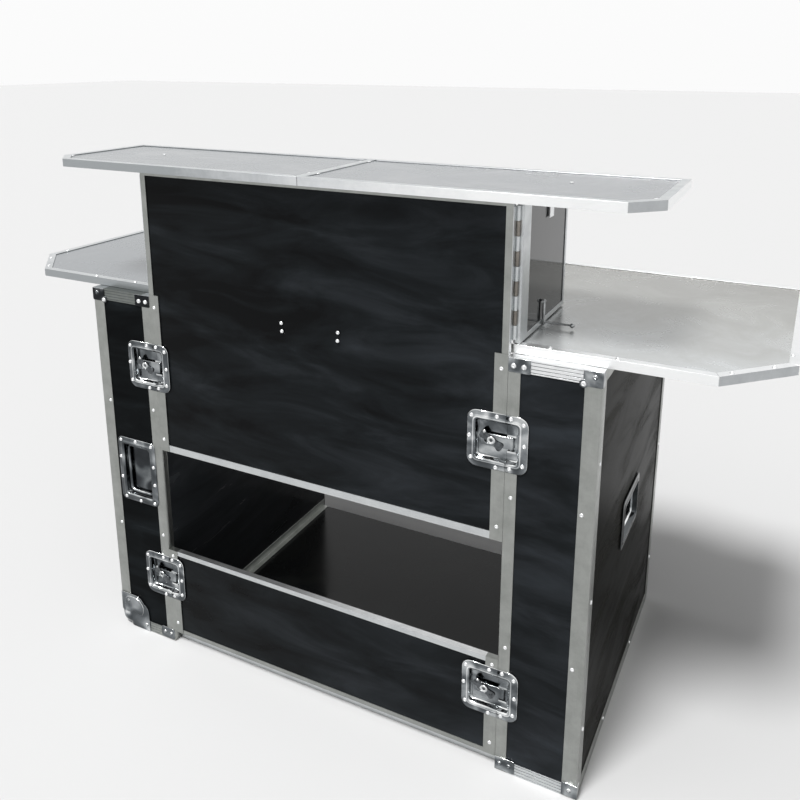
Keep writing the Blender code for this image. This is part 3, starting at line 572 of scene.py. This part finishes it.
def arc(centre, radius, start, end, steps):
    return [(centre[0] + radius * math.cos(math.radians(start + (end - start) * i / steps)),
             centre[1] + radius * math.sin(math.radians(start + (end - start) * i / steps)))
            for i in range(steps + 1)]


for side, sign in SIDES.items():
    smooth_copy("drop_bolt_" + side, "bolt_" + side, STEEL, 0.0002)
    bm = bmesh.new()
    gap = BOLT_X - RETURN_OUTER
    outside = [(-SADDLE_FOOT, 0.0), (-SADDLE_FOOT, SADDLE_WALL)] + arc((0.0, gap), SADDLE_REACH, 180, 0, 10) \
        + [(SADDLE_FOOT, SADDLE_WALL), (SADDLE_FOOT, 0.0)]
    inside = arc((0.0, gap), SADDLE_REACH - SADDLE_WALL, 0, 180, 10)
    outline = outside + [(inside[0][0], 0.0)] + inside + [(inside[-1][0], 0.0)]
    extrude_outline(bm, outline, (sign * (RETURN_OUTER + SKIN_GAP), BOLT_Y, SADDLE_Z), (Y_WAY, sign * X_WAY, UP),
                    SADDLE_HEIGHT)
    outward(bm)
    ease(bm, 0.0002)
    place_piece(to_object(bm, "drop_bolt_saddles_" + side, [STEEL]), "return_" + side, "drop_bolt_" + side)

# Piano hinges. Two rolled aluminium leaves on a steel pin, screwed to the panel's stile and to the
# return.

HINGE_X = 0.3918
HINGE_Y = -0.2972
HINGE_KNUCKLE = 0.0037

OILED = drawn_aluminium("rolled aluminium, oily dust on the knuckles", "#96918a", "#6f6a65", "#827d77")
for side in SIDES:
    for leaf, body, knuckles in (("fixed", "bar", WORN_AND_LIT), ("moving", "return_" + side, OILED)):
        profile_piece("hinge_%s_%s" % (leaf, side), (0, 0, 1), body, radius=0.0002, mat=knuckles,
                      finish=lambda c, n: int(math.hypot(abs(c.x) - HINGE_X, c.y - HINGE_Y) > HINGE_KNUCKLE))

# Counter brackets. A small pressed angle under each half of the counter, just outside the return,
# which stops it from sliding along.

BRACKET_Y = -0.1485
BRACKET_HALF = 0.011
BRACKET_DROP = 0.052
BRACKET_LEG = 0.024
BRACKET_WALL = 0.002
BRACKET_OFF = 0.0006    # from the return's outer face


def pressed_chrome(name, low, dark, tone, pale, high="#f4f5f5"):
    """Nickel-chrome plate over pressed steel: mirror with slow drifts of tone, paler where it faces up as painted
    reflection and towards +X as painted light.
    """
    mat, tree = new_material(name)
    coords = add(tree, "ShaderNodeTexCoord").outputs
    painted_reflection_up = add(tree, "ShaderNodeSeparateXYZ", {0: coords["Normal"]}).outputs["Z"]
    across = add(tree, "ShaderNodeSeparateXYZ", {0: coords["Object"]}).outputs["X"]
    mixed = noise(tree, coords["Object"], 19.0, 1.5, 0.4, 1.2)
    scuff = noise(tree, coords["Object"], 260.0, 4.0, 0.7)
    # Upward faces pale as painted reflection and the tone pales towards +X as painted light; the scuffs are the
    # plate's own.
    for value, share in ((painted_reflection_up, 0.5), (scuff, 0.12), (across, 0.1)):
        mixed = calc(tree, "MULTIPLY_ADD", value, share, mixed)
    colour = ramp(tree, mixed, [(0.04, low), (0.48, dark), (0.6, tone), (0.72, pale), (1.0, high)])
    finish_surface(tree, {"Metallic": 1.0}, colour, spread(tree, scuff, 0.35, 0.7, 0.06, 0.2), (scuff, 0.03, 0.0004))
    return mat


CHROME = pressed_chrome("chrome-plated steel", "#232627", "#55595c", "#74787b", "#a4a8aa")
# Painted highlight: a paler copy of the chrome for the latches' beads and lugs, the cam's rings and the ball corner's
# pad rims.
HIGHLIGHT_CHROME = pressed_chrome("chrome-plated steel, painted highlight", "#6d7173", "#a9acae", "#cdd0d1", "#eceded")
# Grime and painted shade: darker copies of the chrome for the handles.
DULL_SHADED_CHROME = pressed_chrome("chrome-plated steel, dulled, painted shade", "#1c1e1f", "#34373a", "#55595c", "#74787a", "#c3c6c7")
GRIMY_SHADED_CHROME = pressed_chrome("chrome-plated steel, grimy, painted shade", "#0e0f10", "#1c1e1f", "#282b2c", "#393c3e", "#55585a")
# Painted shade: a darker copy of the chrome for the left upper braces.
SHADED_CHROME = pressed_chrome("chrome-plated steel, painted shade", "#1a1c1d", "#292b2d", "#5c5e60", "#787b7d", "#a5a8aa")

for side, sign in SIDES.items():
    bm = bmesh.new()
    corner = (sign * (RETURN_OUTER + BRACKET_OFF), BRACKET_Y - BRACKET_HALF, COUNTER_BOTTOM - CLEARANCE)
    outline = [(0, 0), (0, -BRACKET_DROP), (BRACKET_WALL, -BRACKET_DROP), (BRACKET_WALL, -BRACKET_WALL),
               (BRACKET_LEG, -BRACKET_WALL), (BRACKET_LEG, 0)]
    extrude_outline(bm, outline, corner, (sign * X_WAY, UP, Y_WAY), 2 * BRACKET_HALF)
    outward(bm)
    ease(bm, 0.0003)
    lay_lines(bm, UP)
    # The brackets take the lit copy of the alloy: painted light.
    place_piece(to_object(bm, "counter_bracket_" + side, [LIT_ALUMINIUM]), "counter_" + side, "counter_%s_edge" % side)

# Butterfly latches. Each is a pressed steel dish and a keeper dish, chrome plated, let into the
# boards on both sides of a seam. A cam with a wing draws the hook against the keeper's bar.

SEAM_X = 0.3885
LATCHES = {"upper_left": (-SEAM_X, 0.669), "upper_right": (SEAM_X, 0.669),
           "lower_left": (-SEAM_X, 0.167), "lower_right": (SEAM_X, 0.167)}
# From and to across, from and to upward, and the corners' radius
LATCH_RIM = (-0.070, 0.040, -0.053, 0.053, 0.018)
LATCH_PAN = (-0.0543, 0.0218, -0.0353, 0.0353, 0.0048)
LATCH_DEPTH = 0.0085
DISH_GAP = 0.0002
SHEET_METAL = 0.0010
PAN_BEND = 0.002
UPRIGHT = (X_WAY, UP, Y_WAY)
FORWARD = (X_WAY, UP, -Y_WAY)

# How far each ring of the pressing lies from the rim to the pan, and how high it stands off the face
PRESSED_RIM = [(0.0, 0.0004), (0.05, 0.0012), (0.12, 0.0014), (0.46, 0.0014), (0.56, 0.0020), (0.66, 0.0029),
               (0.78, 0.0031), (0.88, 0.0026), (0.95, 0.0014)]
BEAD_STEPS = (0, 5)     # rings of the pressing that take a painted highlight
PAN_STEP = 8            # from this ring inward the pan takes its own finish, grime and painted shade in the handles

CAM_OFFSET = 0.026
CAM_RADIUS = 0.0075
WING = [(-0.0228, -0.0105), (-0.008, -0.0052), (0.008, -0.0052), (0.0228, -0.0105),
        (0.0228, 0.0105), (0.008, 0.0052), (-0.008, 0.0052), (-0.0228, 0.0105)]
WING_TILT = math.radians(-32)
WING_FRONT = FRONT - CLEARANCE
WING_WALL = 0.0018
WING_PIN = (-0.0185, 0.006)
KEEPER_BAR = [(0.0065, -0.013), (0.0095, -0.013), (0.0095, 0.013), (0.0065, 0.013)]
KEEPER_LUGS = ((0.0130, 0.0165), (-0.0165, -0.0130))
BAR_BACK = 0.0045       # how far the bar and its lugs start behind the face
LUG_BACK = 0.0012

# Turned details, from the outside in: distance from the axis and height off the wing
BOSS = [(0.0075, 0.0), (0.0072, 0.0007), (0.0062, 0.0012), (0.0046, 0.0012), (0.0034, 0.0007), (0.0024, -0.0008)]
PIN = [(0.0030, 0.0), (0.0028, 0.0007), (0.0019, 0.0012), (0.0006, 0.0013)]


def rounded(a0, a1, b0, b1, radius, steps=6):
    """Outline of a rectangle with round corners."""
    points = []
    for a, b, da, db, start in ((a0, b0, 1, 1, 180), (a1, b0, -1, 1, 270), (a1, b1, -1, -1, 0), (a0, b1, 1, -1, 90)):
        points += arc((a + da * radius, b + db * radius), radius, start, start + 90, steps)
    return points


def pressed_dish(rim, pan, depth):
    """Thin pressed sheet: a raised bead round a sunken pan, as one surface in its own U, V and height."""
    bm = bmesh.new()
    levels = PRESSED_RIM + [(1.0, 0.0), (1.0, -depth + PAN_BEND)]
    shapes = [([r + (p - r) * t for r, p in zip(rim, pan)], height) for t, height in levels]
    u0, u1, v0, v1, radius = pan
    shapes.append(((u0 + PAN_BEND, u1 - PAN_BEND, v0 + PAN_BEND, v1 - PAN_BEND, radius), -depth))
    rings = [[bm.verts.new((a, b, height)) for a, b in rounded(*shape)] for shape, height in shapes]
    for step, (ring, following) in enumerate(zip(rings, rings[1:])):
        for face in band(bm, ring, following):
            face.smooth = True
            face.material_index = 2 if step >= PAN_STEP else int(step in BEAD_STEPS)
    bm.faces.new(rings[-1]).material_index = 2
    return bm


def thicken(bm, wall, way=(0, 0, 1)):
    """Give a surface that faces a given way its sheet thickness behind it."""
    outward(bm)
    if sum(face.normal.dot(Vector(way)) * face.calc_area() for face in bm.faces) < 0:
        bmesh.ops.reverse_faces(bm, faces=bm.faces)
    bmesh.ops.solidify(bm, geom=bm.faces[:], thickness=wall)


def softened(outline, rounds=2):
    """Closed outline with its corners cut again and again until they read as curves."""
    for _ in range(rounds):
        pairs = list(zip(outline, outline[1:] + outline[:1]))
        outline = [(a[0] * s + b[0] * (1 - s), a[1] * s + b[1] * (1 - s)) for a, b in pairs for s in (0.75, 0.25)]
    return outline


def turned(bm, x, z, face, profile, steps=24):
    """Round detail on a plane that faces the front. Its rings are bright with a painted highlight, and a sunken
    middle is dark.
    """
    rings = [[bm.verts.new((a, face - height, b)) for a, b in arc((x, z), radius, 0, 360, steps)[:-1]]
             for radius, height in profile]
    for ring, following in zip(rings, rings[1:]):
        for made in band(bm, ring, following):
            made.smooth = True
            made.material_index = 1
    bm.faces.new(rings[-1]).material_index = int(profile[-1][1] > 0)


def cam_with_wing(x, z):
    """Round cam, the butterfly wing on it, the wing's boss and the pin of its folding half."""
    cos, sin = math.cos(WING_TILT), math.sin(WING_TILT)
    *wing, pin = [(x + a * cos - b * sin, z + a * sin + b * cos) for a, b in softened(WING) + [WING_PIN]]
    bm = bmesh.new()
    extrude_outline(bm, wing, (0, WING_FRONT, 0), UPRIGHT, WING_WALL)
    extrude_outline(bm, arc((x, z), CAM_RADIUS, 0, 345, 23), (0, WING_FRONT + WING_WALL, 0), UPRIGHT,
                    LATCH_DEPTH - WING_WALL)
    outward(bm)
    ease(bm, 0.0005)
    detail = bmesh.new()
    turned(detail, x, z, WING_FRONT, BOSS)
    turned(detail, *pin, WING_FRONT, PIN, 14)
    outward(detail)
    if sum(face.normal.y * face.calc_area() for face in detail.faces) > 0:
        bmesh.ops.reverse_faces(detail, faces=detail.faces)
    join(bm, detail)
    return bm


FRONT_FACE = Matrix(((1, 0, 0, 0), (0, 0, -1, FRONT), (0, 1, 0, 0), (0, 0, 0, 1)))

for place, (x, z) in LATCHES.items():
    for piece, edge, side in (("dish", -DISH_GAP, -1), ("keeper", DISH_GAP, 1)):
        bm = pressed_dish(LATCH_RIM, LATCH_PAN, LATCH_DEPTH)
        slice_at(bm, (edge, 0, 0), (side, 0, 0), clear=True)
        thicken(bm, SHEET_METAL)
        bm.transform(Matrix.Translation((x, 0, z)) @ FRONT_FACE)
        if piece == "keeper":
            extrude_outline(bm, KEEPER_BAR, (x, FRONT + BAR_BACK, z), UPRIGHT, LATCH_DEPTH - 0.004)
            count = len(bm.faces)
            for low, high in KEEPER_LUGS:
                extrude_outline(bm, rounded(0.0025, 0.0185, low, high, 0.0012, 3), (x, FRONT + LUG_BACK, z),
                                UPRIGHT, LATCH_DEPTH - LUG_BACK)
            # The lugs take the painted highlight.
            for face in list(bm.faces)[count:]:
                face.material_index = 1
        outward(bm)
        stand_in(bm, "latch_%s_%s" % (piece, place), "_pressed", [CHROME, HIGHLIGHT_CHROME, CHROME])
    smooth_copy("latch_hook_" + place, "hook_" + place, CHROME, 0.0005)
    stand_in(cam_with_wing(x - CAM_OFFSET, z), "latch_cam_" + place, "_wing", [BLACK_STEEL, HIGHLIGHT_CHROME],
             "cam_" + place)

# Recessed handles. A pressed dish, chrome plated, and a bent steel rod sprung flat against its
# floor.

HANDLE_RIM = 0.0155
HANDLE_DEPTH = 0.0135
HANDLE_BEND = 0.0012
# The dish's own U, V and height turned to the world, its half sizes, and the finishes of rim and pan
# The handles' pans and the whole side handle take darker copies of the chrome: grime and painted shade.
HANDLES = {
    "front": (Matrix.Translation((-0.459, 0, 0.4125)) @ FRONT_FACE, 0.053, 0.0765, CHROME, DULL_SHADED_CHROME),
    "side": (Matrix(((0, 0, 1, OUT), (1, 0, 0, 0.0125), (0, 1, 0, 0.4125), (0, 0, 0, 1))), 0.0765, 0.053,
             GRIMY_SHADED_CHROME, GRIMY_SHADED_CHROME),
}

for face, (to_world, half_u, half_v, rim_finish, pan_finish) in HANDLES.items():
    inset = HANDLE_RIM + HANDLE_BEND
    rim = (-half_u, half_u, -half_v, half_v, 0.012)
    pan = (-half_u + inset, half_u - inset, -half_v + inset, half_v - inset, 0.0052)
    bm = pressed_dish(rim, pan, HANDLE_DEPTH)
    thicken(bm, SHEET_METAL)
    bm.transform(to_world)
    outward(bm)
    stand_in(bm, "handle_dish_" + face, "_pressed", [rim_finish, rim_finish, pan_finish])
    smooth_copy("handle_bail_" + face, "bail_" + face, CHROME, 0.0001)

# Ball corner. Pressed steel, chrome plated: two lobed plates with a bead along their edges that
# run into a ball over the case's foot.

PETAL_PAD = [(0.012, 0.034), (0.012, 0.077), (0.052, 0.079), (0.068, 0.064), (0.068, 0.048), (0.064, 0.036),
             (0.050, 0.033), (0.040, 0.046), (0.026, 0.034)]
PAD_HEIGHT = 0.0013
BALL_LEG = 0.0835
BALL_LOBE = 0.0275
BALL_LOBE_NEAR = 0.044
BALL_RADIUS = 0.024
BALL_OFFSET = 0.0195
BALL_BLEND = 0.014      # how far past the ball's centre the sheet runs back to flat
BALL_BEND = 0.003
BALL_FOOT = 0.008       # height over which the ball's underside runs down to the floor
BALL_GRID = 0.0015
GRID_LINES = 26         # on each side of the bend
BALL_SHEET = 0.0014
SHEET_FACE = 0.0018


def petals():
    """The unrolled sheet: both lobed plates side by side, in a fine grid where the ball is pressed."""
    near, far = BALL_LOBE_NEAR, BALL_LEG - BALL_LOBE
    notch = (far + near) / 2 + math.sqrt(BALL_LOBE ** 2 / 2 - ((far - near) / 2) ** 2)
    turn = math.degrees(math.atan2(notch - far, notch - near))
    half = arc((near, far), BALL_LOBE, 90, turn, 8) + arc((far, near), BALL_LOBE, 90 - turn, 0, 8)[1:]
    half.append((BALL_LEG, 0.0))
    outline = half + [(-a, b) for a, b in reversed(half)]
    bm = bmesh.new()
    bm.faces.new([bm.verts.new((a, 0.0, b)) for a, b in outline])
    for k in range(-GRID_LINES, GRID_LINES + 1):
        slice_at(bm, (k * BALL_GRID, 0, 0), X_WAY)
    for k in range(1, GRID_LINES + 1):
        slice_at(bm, (0, 0, k * BALL_GRID), UP)
    return bm


def bent(along, up):
    """Where a point of the unrolled sheet comes to lie, seen from the corner, before the ball is pressed."""
    if abs(along) >= BALL_BEND:
        return Vector((max(along, 0.0), max(-along, 0.0), up))
    turn = math.radians(45 * (1 - along / BALL_BEND))
    return Vector((BALL_BEND * (1 - math.sin(turn)), BALL_BEND * (1 - math.cos(turn)), up))


def pressed_ball(point):
    """Move a point of the bent sheet onto the ball, the less the farther it lies past the ball's centre."""
    centre = Vector((BALL_OFFSET, BALL_OFFSET, BALL_RADIUS))
    past = math.hypot(max(max(point.x, point.y) - BALL_OFFSET, 0.0), max(point.z - BALL_RADIUS, 0.0)) / BALL_BLEND
    share = 1.0 - min(max((past - 0.25) / 0.75, 0.0), 1.0)
    share = share * share * (3 - 2 * share)
    pressed = point.lerp(centre + (point - centre).normalized() * BALL_RADIUS, share)
    rise = min(point.z / BALL_FOOT, 1.0)
    pressed.z = point.z + (pressed.z - point.z) * rise * rise * (3 - 2 * rise)
    return pressed


bm = petals()
foot = Vector((-OUT - SHEET_FACE, FRONT - SHEET_FACE, 0.0))
for vert in bm.verts:
    vert.co = foot + pressed_ball(bent(vert.co.x, vert.co.z))
for face in bm.faces:
    face.smooth = True
thicken(bm, BALL_SHEET, (-1, -1, 0))
ease(bm, 0.0003, 2, 60)
for vert in bm.verts:
    vert.co.z = max(vert.co.z, 0.0)
stand_in(bm, "ball_corner_left", "_pressed", [CHROME])

bm = bmesh.new()
for across, out in ((X_WAY, -Y_WAY), (Y_WAY, -X_WAY)):
    extrude_outline(bm, softened(PETAL_PAD), foot - out * CLEARANCE, (across, UP, out), PAD_HEIGHT + CLEARANCE)
outward(bm)
ease(bm, 0.0011, 3, 60)
# The pads' eased rims take the painted highlight.
for face in bm.faces:
    face.material_index = int(max(abs(value) for value in face.normal) < 0.98)
place_piece(to_object(bm, "ball_corner_pads", [CHROME, HIGHLIGHT_CHROME]), "bar", "ball_corner_left")

# Corner braces. Small pressed plates over the ends of the grooved rails, each held by one or two
# large dome rivets. The upper ones are bent back over the case's top, and the outer ones round
# its corner too.

BRACE_WALL = 0.0012
BRACE_LEG = 0.0205
BRACE_TOP = 0.8249
BRACE_FOOT = (0.0025, 0.0300)
BRACE_RETURN = 0.014    # how far an outer brace reaches round the corner
CORNER_RIVETS = [((x, FRONT - SHEET_FACE, z), (0, -1, 0)) for x, z in ((-0.472, 0.016), (-0.5225, 0.0655))]
CORNER_RIVETS += [((-OUT - SHEET_FACE, FRONT + y, z), (-1, 0, 0)) for y, z in ((0.071, 0.016), (0.0205, 0.0655))]
LARGE_RIVETS = []


def brace(bm, x0, x1, z0, z1, radius, rivets, lobe=None):
    """Front plate, its leg over the case's top, and for an outer brace its round ear and its leg round the corner."""
    front = (0, FRONT - SKIN_GAP, 0)
    extrude_outline(bm, rounded(x0, x1, z0, z1, radius, 4), front, FORWARD, BRACE_WALL)
    if lobe:
        x, z, size = lobe
        extrude_outline(bm, arc((x, z), size, 0, 342, 19), front, FORWARD, BRACE_WALL + 0.0003)
        side = math.copysign(1, x)
        extrude_outline(bm, rounded(FRONT - BRACE_WALL, FRONT + BRACE_RETURN, z0, z1, radius, 4),
                        (side * (OUT + SKIN_GAP), 0, 0), (Y_WAY, UP, side * X_WAY), BRACE_WALL)
    spots = CORNER_RIVETS
    if z1 > CASE_HEIGHT / 2:
        spots = LARGE_RIVETS
        extrude_outline(bm, [(x0, 0), (x1, 0), (x1, BRACE_LEG), (x0, BRACE_LEG)],
                        (0, FRONT - BRACE_WALL, z1 - BRACE_WALL), (X_WAY, Y_WAY, UP), BRACE_WALL)
    spots.extend(((x, FRONT - BRACE_WALL, z), (0, -1, 0)) for x, z in rivets)


bm = bmesh.new()
for sign in (-1, 1):
    inner, outer = sorted((sign * IN, sign * 0.4275)), sorted((sign * 0.514, sign * (OUT + BRACE_WALL)))
    brace(bm, *inner, 0.7998, BRACE_TOP, 0.002, [(sign * 0.3985, 0.8115), (sign * 0.4165, 0.8115)])
    brace(bm, *outer, 0.7978, BRACE_TOP, 0.003, [(sign * 0.515, 0.8015)], (sign * 0.515, 0.8015, 0.0072))
    brace(bm, *inner, *BRACE_FOOT, 0.006 if sign < 0 else 0.002,
          [(sign * 0.3985, 0.017), (sign * 0.4165, 0.017)])
brace(bm, 0.517, OUT + BRACE_WALL, *BRACE_FOOT, 0.002, [(0.531, 0.016)], (0.531, 0.016, 0.004))
outward(bm)
ease(bm, 0.0004)
# Painted light and shade: the left upper braces take the darker chrome and the rest the plain one, and the legs over
# the case's top take lit copies of the alloy, brightest on the right.
for face in bm.faces:
    middle = face.calc_center_median()
    painted_lighter = int(middle.x > 0 or middle.z < CASE_HEIGHT / 2)
    face.material_index = 2 + painted_lighter if face.normal.z > 0.9 and middle.z > CASE_HEIGHT / 2 else painted_lighter
lay_lines(bm, X_WAY)
place_piece(to_object(bm, "corner_braces", [SHADED_CHROME, CHROME, WORN_AND_LIT, LIT_ALUMINIUM]), "bar", "ball_corner_left")

# Rivets. Aluminium blind rivets: a low dome with a small pit where the mandrel broke off. The
# large ones hold the braces.


def rivet_tree():
    """Points in, rivets out: each dome stands on its point and faces the way the point says."""
    tree = bpy.data.node_groups.new("blind rivet", "GeometryNodeTree")
    for name, kind in (("Geometry", "Geometry"), ("Head diameter", "Float"), ("Head height", "Float"),
                       ("Pit diameter", "Float"), ("Finish", "Material")):
        tree.interface.new_socket(name, in_out="INPUT", socket_type="NodeSocket" + kind)
    tree.interface.new_socket("Geometry", in_out="OUTPUT", socket_type="NodeSocketGeometry")
    given = add(tree, "NodeGroupInput").outputs
    radius = calc(tree, "MULTIPLY", given["Head diameter"], 0.5)
    ring = add(tree, "GeometryNodeMeshCircle", {"Vertices": 14, "Radius": radius}, fill_type="NGON")
    dome_top = 0.347        # share of the head's width that its steps leave
    pit = calc(tree, "DIVIDE", calc(tree, "DIVIDE", given["Pit diameter"], given["Head diameter"]), dome_top)
    # Each step rises by a share of the head's height, and its top keeps a share of the width
    mesh, top = ring.outputs["Mesh"], True
    for share, size in ((0.45, 0.93), (0.3, 0.84), (0.18, 0.74), (0.07, 0.6), (0.0, pit), (-0.5, None)):
        rise = calc(tree, "MULTIPLY", given["Head height"], share)
        grown = add(tree, "GeometryNodeExtrudeMesh", {"Individual": False, "Mesh": mesh, "Offset Scale": rise,
                                                      "Selection": top}, mode="FACES").outputs
        mesh, top = grown["Mesh"], grown["Top"]
        if size is not None:
            inputs = {"Geometry": mesh, "Selection": top, "Scale": size}
            mesh = add(tree, "GeometryNodeScaleElements", inputs).outputs["Geometry"]
    shaded = add(tree, "GeometryNodeSetShadeSmooth", {"Geometry": mesh}).outputs["Geometry"]
    way = add(tree, "GeometryNodeInputNamedAttribute", {"Name": "facing"}, data_type="FLOAT_VECTOR")
    turn = add(tree, "FunctionNodeAlignRotationToVector", {"Vector": way.outputs["Attribute"]}, axis="Z")
    placed = add(tree, "GeometryNodeInstanceOnPoints", {"Points": given["Geometry"], "Instance": shaded,
                                                        "Rotation": turn.outputs["Rotation"]})
    solid = add(tree, "GeometryNodeRealizeInstances", {"Geometry": placed.outputs["Instances"]})
    dressed = add(tree, "GeometryNodeSetMaterial", {"Geometry": solid.outputs["Geometry"],
                                                    "Material": given["Finish"]})
    add(tree, "NodeGroupOutput", {"Geometry": dressed.outputs["Geometry"]})
    return tree


RIVET_TREE = rivet_tree()


def rivets(name, body, slot, spots, diameter, height, pit, mat):
    """One mesh of rivets for one body. Each spot is a point and the way its head faces."""
    points = bpy.data.meshes.new(name + "_points")
    points.from_pydata([point for point, _ in spots], [], [])
    facing = points.attributes.new("facing", "FLOAT_VECTOR", "POINT")
    facing.data.foreach_set("vector", [value for _, way in spots for value in way])
    carrier = in_scene(name + "_points", points)
    change = carrier.modifiers.new("rivets", "NODES")
    change.node_group = RIVET_TREE
    sockets = {item.name: item.identifier for item in RIVET_TREE.interface.items_tree if item.in_out == "INPUT"}
    for label, value in (("Head diameter", diameter), ("Head height", height), ("Pit diameter", pit),
                         ("Finish", mat)):
        change[sockets[label]] = value
    bpy.context.view_layer.update()
    graph = bpy.context.evaluated_depsgraph_get()
    mesh = bpy.data.meshes.new_from_object(carrier.evaluated_get(graph))
    bpy.data.objects.remove(carrier)
    mesh.name = name
    return place_piece(in_scene(name, mesh), body, slot)


def on_front(spots, stand=0.0):
    return [((x, FRONT - stand, z), (0, -1, 0)) for x, z in spots]


stile_spots = [(s * x, z) for s in (-1, 1) for x in (0.524, 0.401) for z in (0.57, 0.27)]
stile_spots += [(s * x, z) for s in (-1, 1) for x, z in ((0.062, 0.816), (0.061, 0.800))]
stile_spots += [(s * 0.377, z) for s in (-1, 1) for z in (0.802, 0.508, 0.053, 0.225)]
top_spots = []
for sign in (-1, 1):
    top_spots += [(sign * x, y) for x, y in ((0.727, 0.045), (0.7825, 0.100), (0.806, 0.170), (0.809, 0.58),
                                             (0.45, 0.0275), (0.56, 0.0275), (0.6, 0.602), (0.3, 0.602))]
worktop_rivets = [((x, FRONT + y, WORKTOP_BOTTOM + TOP_THICKNESS), (0, 0, 1)) for x, y in top_spots]
side_rivets = [((OUT * s, FRONT + y, z), (s, 0, 0)) for s in (-1, 1)
               for y, z in ((0.018, 0.66), (0.018, 0.40), (0.018, 0.14), (0.64, 0.70), (0.64, 0.42), (0.64, 0.12),
                            (0.20, 0.813), (0.45, 0.813), (0.20, 0.012), (0.45, 0.012))]
latch_spots = [(-0.062, 0.041), (-0.0655, 0.003), (-0.062, -0.037), (-0.016, 0.0465), (-0.016, -0.0475),
               (0.009, 0.047), (0.009, -0.0445), (0.0315, 0.040), (0.0335, 0.002), (0.0315, -0.035)]
latch_rivets = [(x + u, z + v) for x, z in LATCHES.values() for u, v in latch_spots]
handle_spots = [(-0.502, 0.481), (-0.460, 0.4835), (-0.416, 0.481), (-0.5055, 0.440), (-0.5055, 0.391),
                (-0.499, 0.344), (-0.457, 0.3415), (-0.417, 0.344), (-0.4125, 0.433), (-0.4125, 0.390)]

COUNTERSUNK = 0.0008    # height of the counter's rivets, which end flush with its edge

# Most rivets take the lit copy of the alloy: painted light.
rivets("rivets_frame", "bar", "case_seam_stile_left",
       on_front(stile_spots) + worktop_rivets + side_rivets, diameter=0.0076, height=0.0017, pit=0.0024, mat=LIT_ALUMINIUM)
rivets("rivets_fittings", "bar", "latch_dish_upper_left",
       on_front(latch_rivets + handle_spots, 0.0014), diameter=0.0082, height=0.0024, pit=0.0024, mat=LIT_ALUMINIUM)
rivets("rivets_braces", "bar", "ball_corner_left",
       LARGE_RIVETS, diameter=0.0098, height=0.0030, pit=0.0028, mat=LIT_ALUMINIUM)
# The feet's and the outer upper braces' rivets take the plain chrome, dimmer than the rest: painted shade.
DIM_RIVETS = [((s * 0.533, FRONT - BRACE_WALL, 0.815), (0, -1, 0)) for s in (-1, 1)]
rivets("rivets_corner", "bar", "ball_corner_left",
       CORNER_RIVETS + DIM_RIVETS, diameter=0.0092, height=0.0024, pit=0.0028, mat=CHROME)
for side, sign in SIDES.items():
    spots = [(0.6, 0.03), (0.54, -0.014), (0.443, 0.134), (0.611, 0.208), (0.009, 0.03), (0.009, 0.22),
             (0.3, -0.0175), (0.3, 0.2475)]
    sunk = COUNTER_BOTTOM + TOP_THICKNESS - COUNTERSUNK
    rivets("rivets_counter_" + side, "counter_" + side, "counter_%s_edge" % side,
           [((sign * x, FRONT + y, sunk), (0, 0, 1)) for x, y in spots],
           diameter=0.0076, height=COUNTERSUNK, pit=0.0024, mat=LIT_ALUMINIUM)

# Floor, light and camera. A plain pale floor under soft studio light, seen from the height and
# distance of the photograph.


def pale_floor():
    mat, tree = new_material("pale floor")
    finish_surface(tree, {"Specular IOR Level": 0.2}, linear("#d6d6d6"), 0.9)
    return mat


FLOOR_SIZE = 30.0
FLOOR_LEVEL = -0.0005   # just under the feet, so that no faces fight

bm = bmesh.new()
bmesh.ops.create_grid(bm, x_segments=1, y_segments=1, size=FLOOR_SIZE)
bmesh.ops.translate(bm, vec=(0, 0, FLOOR_LEVEL), verts=bm.verts)
floor = to_object(bm, "floor", [pale_floor()])

SUN_WAY = Vector((0.03, 0.125, -0.243))     # the way its light falls
sun_light = bpy.data.lights.new("soft_key", "SUN")
sun_light.energy = 3.0
sun_light.angle = math.radians(16)
sun = in_scene("soft_key", sun_light)
sun.location = -8 * SUN_WAY
sun.rotation_euler = SUN_WAY.to_track_quat("-Z", "Y").to_euler()

FRONT_WAY = Vector((-0.47, -0.83, 0.30))     # the brightest side of the studio
world = bpy.data.worlds.new("studio")
world.use_nodes = True
world.node_tree.nodes.clear()
bpy.context.scene.world = world
tree = world.node_tree
ray = add(tree, "ShaderNodeLightPath").outputs
seen = calc(tree, "MAXIMUM", ray["Is Camera Ray"], ray["Is Glossy Ray"])
seen = calc(tree, "MAXIMUM", seen, ray["Is Transmission Ray"])
sky = add(tree, "ShaderNodeTexCoord").outputs["Generated"]
height = add(tree, "ShaderNodeSeparateXYZ", {0: sky}).outputs["Z"]
backdrop = add(tree, "ShaderNodeBackground", {"Color": ramp(tree, height, [(0.0, "#fbfbfb"), (0.45, "#ffffff")])})
frontal = add(tree, "ShaderNodeVectorMath", {0: sky, 1: FRONT_WAY}, operation="DOT_PRODUCT").outputs["Value"]
soft = spread(tree, frontal, -0.3, 0.9, 0.02, 1.0)
light = add(tree, "ShaderNodeBackground", {"Color": (1, 1, 1, 1), "Strength": soft})
both = add(tree, "ShaderNodeMixShader", {0: seen, 1: light.outputs[0], 2: backdrop.outputs[0]})
add(tree, "ShaderNodeOutputWorld", {"Surface": both.outputs[0]})

camera_data = bpy.data.cameras.new("camera")
camera_data.sensor_width = 36.0
camera_data.lens = 37.446
camera_data.shift_y = -0.1663
camera = in_scene("camera", camera_data)
camera.location = (0.8107, -1.5430, 1.3082)
camera.rotation_euler = (math.radians(90 - 14.41), 0.0, math.radians(26.83))
bpy.context.scene.camera = camera
bpy.context.scene.view_settings.view_transform = "Standard"
